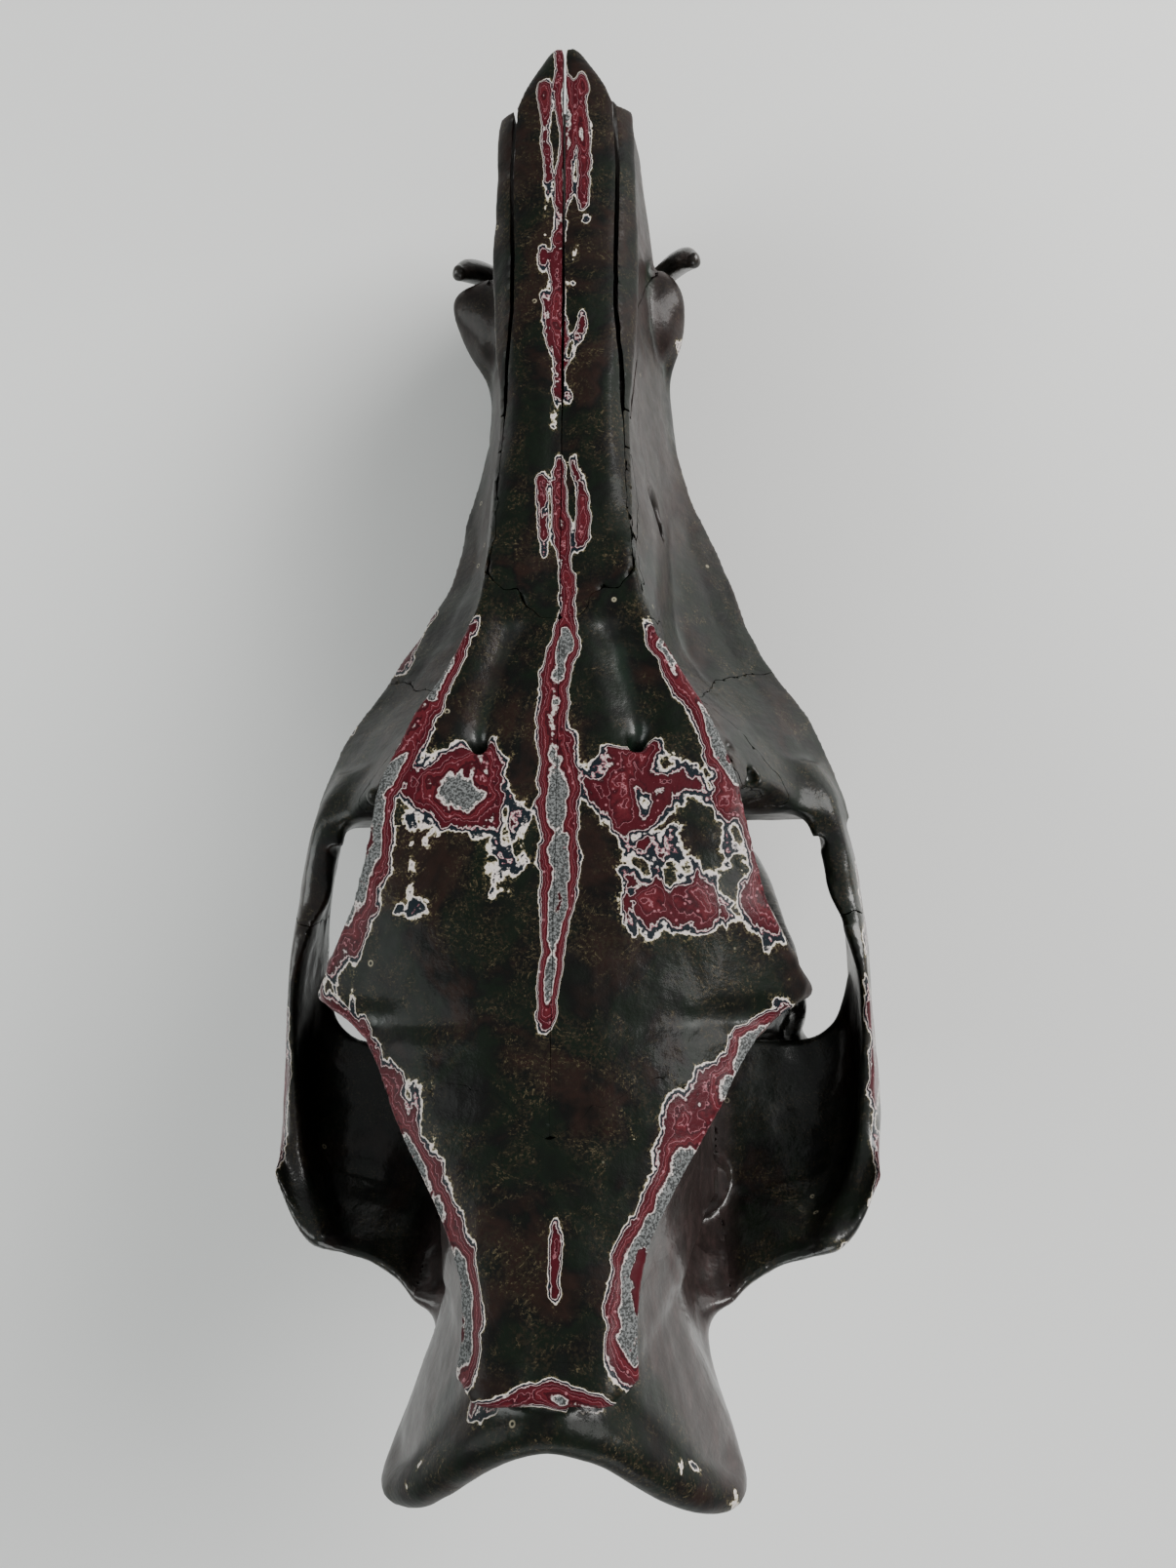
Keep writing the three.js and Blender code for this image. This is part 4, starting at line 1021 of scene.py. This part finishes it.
def ground_colour(n):
    """Dark outer layer: brown, olive and green grain with dotted contours and tiny rings."""
    base = n.ramp(n.noise(0.026, 4, 0.62, 0.4), GROUND)
    grain = n.noise(0.0008, 3, 0.7, 0.2)
    where = n.window(n.noise(0.012, 3, 0.6, 0.8), 0.42, 0.62)
    base = n.mix(n.times(n.window(grain, 0.45, 0.62), where), base, OLIVE)
    relief = n.noise(0.013, 5, 0.66, 1.0)
    lines = n.math("ADD", thin_line(n, relief, 0.47), thin_line(n, relief, 0.56), clamp=True)
    base = n.mix(n.times(lines, n.window(grain, 0.46, 0.54), where), base, GROUND_LINE)
    distance = n.cells(0.0105)
    ring = n.times(n.window(distance, 0.035, 0.05), n.inverse(n.window(distance, 0.06, 0.085)))
    chosen = n.window(n.noise(0.011, 1, 0.5), 0.55, 0.58)
    return n.mix(n.times(ring, chosen, 0.6), base, CREAM)


def layered_lacquer():
    n = Nodes("layered_lacquer", Coat_Roughness=0.12)
    coarse, middle, fine = (n.math("SUBTRACT", value, 0.5) for value in (
        n.noise(0.015, 2, 0.5, 0.6, LONGER), n.noise(0.0060, 2, 0.52, 0.6, LONGER),
        n.noise(0.0010, 2, 0.6)))
    level = n.scaled(coarse, 0.55, n.number("rub"))
    level = n.scaled(middle, 0.42, level)
    level = n.scaled(fine, 0.07, level, clamp=True)

    # Rubbed layers against the ground, which turns ochre close to them
    specks = n.window(n.noise(0.0007, 3, 0.7), 0.54, 0.60)
    ground = n.mix(n.times(n.window(level, 0.25, 0.31), specks, 0.6), ground_colour(n), OCHRE)
    colour = n.mix(n.window(level, EDGE, EDGE + 0.004), ground, n.ramp(level, LAYERS))

    # Pale dots on the red, and dark salt on the silver
    dot = n.times(n.inverse(n.window(n.cells(0.0019), 0.14, 0.22)),
                  n.window(n.noise(0.005, 2), 0.50, 0.58),
                  n.window(level, EDGE + 0.02, EDGE + 0.03), 0.8)
    colour = n.mix(dot, colour, n.mix(n.window(level, 0.39, 0.41), WHITE, ROSE))
    silver = n.times(n.window(level, 0.615, 0.63), n.inverse(n.window(level, 0.83, 0.836)))
    salt = n.window(n.noise(0.0005, 2, 0.7), 0.42, 0.56)
    colour = n.mix(n.times(silver, salt, 0.8), colour, BLACK)

    # Side walls: their own brown tone with a painted sheen; hollows: painted shade, green-black
    wall_tone_and_sheen = n.ramp(n.noise(0.0022, 4, 0.62, 0.2, (1.0, 0.3, 0.4)), WALL_TONE_AND_SHEEN)
    plain = n.inverse(n.window(level, EDGE - 0.03, EDGE))
    colour = n.mix(n.times(n.number("wall_tone_and_sheen"), plain, 0.9), colour, wall_tone_and_sheen)
    # Painted shade over the concave hollows
    hollow = n.ramp(n.noise(0.01, 3), HOLLOW_SHADE)
    colour = n.mix(n.times(n.number("hollow"), 0.85), colour, hollow)

    gloss = n.number("gloss")
    n.fill(n.shader, Coat_Weight=n.scaled(gloss, 0.36, 0.02),
           Specular_IOR_Level=n.scaled(gloss, 0.30, 0.08))
    roughness = n.scaled(n.noise(0.004, 3, 0.6), 0.24, 0.36)
    roughness = n.scaled(gloss, -0.12, roughness)
    height = n.scaled(n.noise(0.0035, 4, 0.6), 0.8, n.times(level, 0.7))
    return n.finish(colour, roughness, height)


def dark_lacquer():
    n = Nodes("dark_lacquer", Coat_Weight=0.35, Coat_Roughness=0.12, Specular_IOR_Level=0.4)
    roughness = n.scaled(n.noise(0.004, 3, 0.6), 0.24, 0.24)
    return n.finish(ground_colour(n), roughness, n.noise(0.0035, 4, 0.6))


def tusk_lacquer():
    n = Nodes("tusk_lacquer", Coat_Weight=0.4, Coat_Roughness=0.16, Specular_IOR_Level=0.4)
    streak = n.noise(0.0016, 4, 0.6, 0.3, (1.0, 1.0, 0.25))
    return n.finish(n.ramp(streak, HORN), n.scaled(streak, 0.2, 0.24), streak, 0.0002)


MATERIALS = {"layered_lacquer": layered_lacquer(), "dark_lacquer": dark_lacquer(),
             "tusk_lacquer": tusk_lacquer()}


# ---- Bones of the head ----

HEAD_NODES = [name for name in nodes if name != "mandible" and "tusk" not in name]
SUTURE_HALF_GAP = 0.09
SLOT_HALF_GAP = 0.62
MIDLINE_HALF_GAP = 0.36
HALF_GAPS = {"parietal": 0.01, "occipital": 0.01, "frontal": 0.05}
GROWN_SHUT = 0.01
NOSE_LEEWAY = 0.5

# Zigzag of the sutures: size and height of its waves, and the number of its noise
ZIGZAG = [(3.2, 1.1, 100), (7.0, 1.0, 200)]
CALM = 0.08
CALM_NOSE_Y, CALM_MIDLINE_X = (40, 62), (9, 5)
CALM_BACK_Y, CALM_BACK_Z = (-88, -96), (124, 116)
SHUT_Y, SHUT_X = (-92, -100), (54, 48)
SLOT_Y, SLOT_X, SLOT_Z = (66, 80), (3, 7), (58, 62)
NOT_NEAR = 99

distance = {}
nearest = np.full(whole.shape, NOT_NEAR, np.float32)
second = nearest.copy()
owner = np.full(whole.shape, -1, np.int8)
for index, name in enumerate(HEAD_NODES):
    points, triangles = node_mesh(name)
    a, b = whole.window(points.min(0) - BAND, points.max(0) + BAND)
    d = whole.distances(points, triangles, a, b)
    plain = d.copy()
    x, y, z = whole.grid(a, b)
    calm = np.maximum(rise(y, *CALM_NOSE_Y), rise(np.abs(x), *CALM_MIDLINE_X))
    calm = np.maximum(calm, rise(y, *CALM_BACK_Y) * rise(z, *CALM_BACK_Z))
    d += lerp(1, CALM, calm) * sum(height * noise(d.shape, size / VOXEL, number + index)
                                   for size, height, number in ZIGZAG)
    s = slices(a, b)
    closer = d < nearest[s]
    second[s] = np.where(closer, nearest[s], np.minimum(second[s], d))
    nearest[s] = np.where(closer, d, nearest[s])
    owner[s] = np.where(closer, index, owner[s])
    distance[name] = (a, b, d, plain)

for index, name in enumerate(HEAD_NODES):
    a, b, d, plain = distance.pop(name)
    s = slices(a, b)
    others = np.where(owner[s] == index, second[s], nearest[s])
    half_gap = HALF_GAPS.get(name.split("_")[0], SUTURE_HALF_GAP)
    x, y, z = whole.grid(a, b)
    shut = rise(y, *SHUT_Y) * rise(np.abs(x), *SHUT_X)
    half_gap = lerp(half_gap, min(half_gap, GROWN_SHUT), shut)
    region = 0.5 * (d - others) + half_gap
    along = rise(y, *SLOT_Y)
    if name.startswith("nasal"):
        wide = lerp(MIDLINE_HALF_GAP, SLOT_HALF_GAP, rise(np.abs(x), *SLOT_X))
        region = region + (wide - half_gap) * along
    if name.startswith("premaxilla"):
        region = region + (SLOT_HALF_GAP - half_gap) * along * rise(z, *SLOT_Z)
    skin = whole.d[s]
    if name.startswith(("nasal", "premaxilla")):
        skin = smooth_max(skin, plain - NOSE_LEEWAY, 0.5)
    points, quads = surface(np.maximum(skin, region), a + whole.first)
    points = sharpen(points, skin, region, a + whole.first)
    piece = make_object(f"{name}_bone", points, quads, shade_numbers(points))
    settle(piece, name, "dark_lacquer" if name == "skull_base" else "layered_lacquer")
del nearest, second, owner, distance


# ---- Lower jaw ----

def table_z(y):
    return -JAW_DEPTH + y * math.tan(PITCH)


jaw_top = profile(
    188, -9, 165, -6, 150, -8, 130, -12, 100, -9, 85, -8, -36, -8, -46, 2, -56, 15, -66, 31,
    -76, 47, -84, 57, -89, 61, -94, 54, -98, 43, -104, 39, -110, 34, -115, 20, -119, 0, -122, -22)
jaw_bottom = profile(
    188, -17, 181, -26, 170, -36, 158, -42, 140, table_z(140) + 1, 122, table_z(122) - FLAT_CUT,
    100, table_z(100) - FLAT_CUT, 60, table_z(60) + 2, 0, table_z(0) + 2.5, -50, table_z(-50) + 1,
    -72, table_z(-72) - FLAT_CUT, -96, table_z(-96) - FLAT_CUT, -108, -66, -116, -58, -122, -44)
jaw_outer = profile(
    188, 9, 181, 15, 172, 20, 165, 23.2, 155, 24.8, 145, 24, 130, 22.5, 110, 24, 85, 27, 60, 29,
    30, 32, 0, 36, -20, 41, -35, 48, -48, 55.5, -54, 58, -68, 62, -85, 64, -99, 64.5, -112, 63,
    -122, 59)
jaw_thickness = profile(
    188, 9, 150, 18, 128, 17, 110, 14.5, 85, 13.5, 30, 15, -10, 18, -40, 17, -60, 12, -75, 9,
    -100, 9, -122, 7)
OVERLAP = 2.0


def jaw_shape():
    rings = []
    for y in np.arange(188, -122.1, -2):
        top, bottom, outer = jaw_top(y), jaw_bottom(y), jaw_outer(y)
        joined = rise(y, 108, 128)
        medial = lerp(outer - jaw_thickness(y), -OVERLAP, joined)
        row = min(max(lower_row_x(y), medial), outer)
        on_row = rise(y, -46, -20)
        top_in = lerp(medial + 1, row - 6.5, on_row * (1 - joined))
        top_out = lerp(outer - 1.5, min(row + 8.5, outer - 1), on_row)
        mid = (top + bottom) / 2
        foot = lerp(outer - 5, outer - 4, on_row)
        outline = [[top_in, top - 0.8], [(top_in + top_out) / 2, top], [top_out, top - 0.8],
                   [outer, mid + 0.2 * (top - bottom)], [outer, mid - 0.25 * (top - bottom)],
                   [foot + 2, bottom + 3], [foot, bottom], [max(foot - 6, medial + 1), bottom],
                   [medial, bottom + 0.2 * (top - bottom)], [medial - 0.2, mid]]
        rings.append([[x, y, z] for x, z in outline])
    return loft(round_rings(rings, 3))


JAW_LO, JAW_HI = (-9, -127, -76), (70, 202, 66)
jaw = Field(JAW_LO, JAW_HI)
jaw.join(jaw_shape(), 0)
add_ball(jaw, (55, -104.5, 36.5), (12, 6, 6.5), (0.1, 0.05, 0), 3)
dig_ball(jaw, (66, -66, 14), (6, 22, 26), 4)
dig_ball(jaw, (46, -92, -30), (5.5, 18, 20), 4)
dig(jaw, [(26, 92, -32), (20, 86, -31)], [1.9, 1.5], 1)
dig(jaw, [(28, 112, -34), (21, 108, -33)], [1.5, 1.2], 1)
cheek_teeth(jaw, 86, lower_row_x, 2, lambda y: jaw_top(y) - 6, -1)
incisors(jaw, ([4.3, 172, -18], [3.2, 193.5, 3.5], 3), ([10, 172, -16], [9.4, 190.5, 3], 2.9),
         ([15.5, 168, -13], [17, 180, 2.5], 2.2))
dig(jaw, *tusk_socket(LOWER_TUSK), 0.6)
jaw = both_sides(jaw, JAW_LO, JAW_HI)
uneven(jaw, 0.3, 0.14, 3)
x, y, z = jaw.grid((0, 0, 0), jaw.shape)
jaw.d = smooth_max(jaw.d, table_z(y) - z, 0.4).astype(np.float32)
settle(make_object("mandible_bone", *surface(jaw.d, jaw.first)), "mandible", "dark_lacquer")
del jaw


# ---- Tusks ----

TUSK_SIDES = 24
TIP_STEPS = (0, 0.45, 0.75, 0.93, 0.99)


def tusk(stops, side):
    """Tapered tusk with a rounded tip, slightly three-sided."""
    angle = 2 * np.pi * np.arange(TUSK_SIDES) / TUSK_SIDES
    section = circle(TUSK_SIDES) * (1 + 0.06 * np.cos(3 * angle))[:, None]
    *body, (tip, r) = stops
    direction = np.subtract(tip, body[-1][0])
    direction = direction / np.linalg.norm(direction)
    ends = [(np.array(tip) + direction * r * t, r * math.sqrt(1 - t * t)) for t in TIP_STEPS]
    rings = limb_rings([(p, (r, r), (0, 1, 0)) for p, r in body + ends], section)
    points, faces = loft(more_rings(rings))
    if side < 0:
        x = points[:, 0]
        outer = SAME_WIDTH + (x - SAME_WIDTH) * left_reach(points[:, 1])
        points[:, 0] = -(x if stops is LOWER_TUSK else np.where(x > SAME_WIDTH, outer, x))
        faces = faces[:, ::-1]
    return points, faces


for kind, stops in (("upper_tusk", UPPER_TUSK), ("lower_tusk", LOWER_TUSK)):
    for word, side in (("right", 1), ("left", -1)):
        tooth = make_object(f"{kind}_{word}_tooth", *tusk(stops, side))
        settle(tooth, f"{kind}_{word}", "tusk_lacquer")


# ---- Floor, light and camera ----

FLOOR_HALF = 4
LIGHT_TARGET = (0, 0, 0.1)
LIGHTS = [("window_light", (1.15, 0.75, 0.95), (0.9, 1.1), 40, (1.0, 0.99, 0.97)),
          ("left_light", (-1.3, 0.1, 0.9), (0.9, 1.2), 13, (0.96, 1.0, 0.98)),
          ("back_light", (0.1, -1.4, 0.9), (1.0, 0.8), 9, (0.98, 1.0, 0.99))]
ROOM_COLOUR, ROOM_STRENGTH = (0.92, 0.95, 0.94, 1), 0.32


def plain_floor():
    mesh = bpy.data.meshes.new("floor")
    corners = [(-1, -1), (1, -1), (1, 1), (-1, 1)]
    mesh.from_pydata([(FLOOR_HALF * x, FLOOR_HALF * y, 0) for x, y in corners], [], [(0, 1, 2, 3)])
    n = Nodes("table", Roughness=0.55)
    n.fill(n.shader, Base_Color=n.ramp(n.noise(0.3, 2), TABLE))
    mesh.materials.append(n.material)
    floor = new_object("floor", mesh)


def area_light(name, place, size, power, colour):
    light = bpy.data.lights.new(name, "AREA")
    light.shape = "RECTANGLE"
    light.size, light.size_y = size
    light.energy = power
    light.color = colour
    obj = new_object(name, light)
    obj.location = place
    towards = Vector(LIGHT_TARGET) - Vector(place)
    obj.rotation_euler = towards.to_track_quat("-Z", "Y").to_euler()


plain_floor()
for light in LIGHTS:
    area_light(*light)
world = bpy.data.worlds.new("studio")
world.use_nodes = True
background = world.node_tree.nodes["Background"]
background.inputs["Color"].default_value = ROOM_COLOUR
background.inputs["Strength"].default_value = ROOM_STRENGTH
bpy.context.scene.world = world

# Camera fitted to the photo
CAMERA_PLACE = to_row(np.array([[29.3, -60.4, 402.0]]))[0]
CAMERA_TURN = (math.radians(5.41), math.radians(4.4), math.radians(-0.83))
FOCAL_PIXELS = 1250
IMAGE_HEIGHT = 1608
SENSOR = 36
camera_data = bpy.data.cameras.new("photo_camera")
camera_data.sensor_width = SENSOR
camera_data.lens = FOCAL_PIXELS / IMAGE_HEIGHT * SENSOR
camera_data.clip_start = 0.01
camera = new_object("photo_camera", camera_data)
turn = Matrix.Rotation(-PITCH, 3, "X") @ Euler(CAMERA_TURN).to_matrix()
camera.matrix_world = Matrix.Translation(CAMERA_PLACE) @ turn.to_4x4()
bpy.context.scene.camera = camera
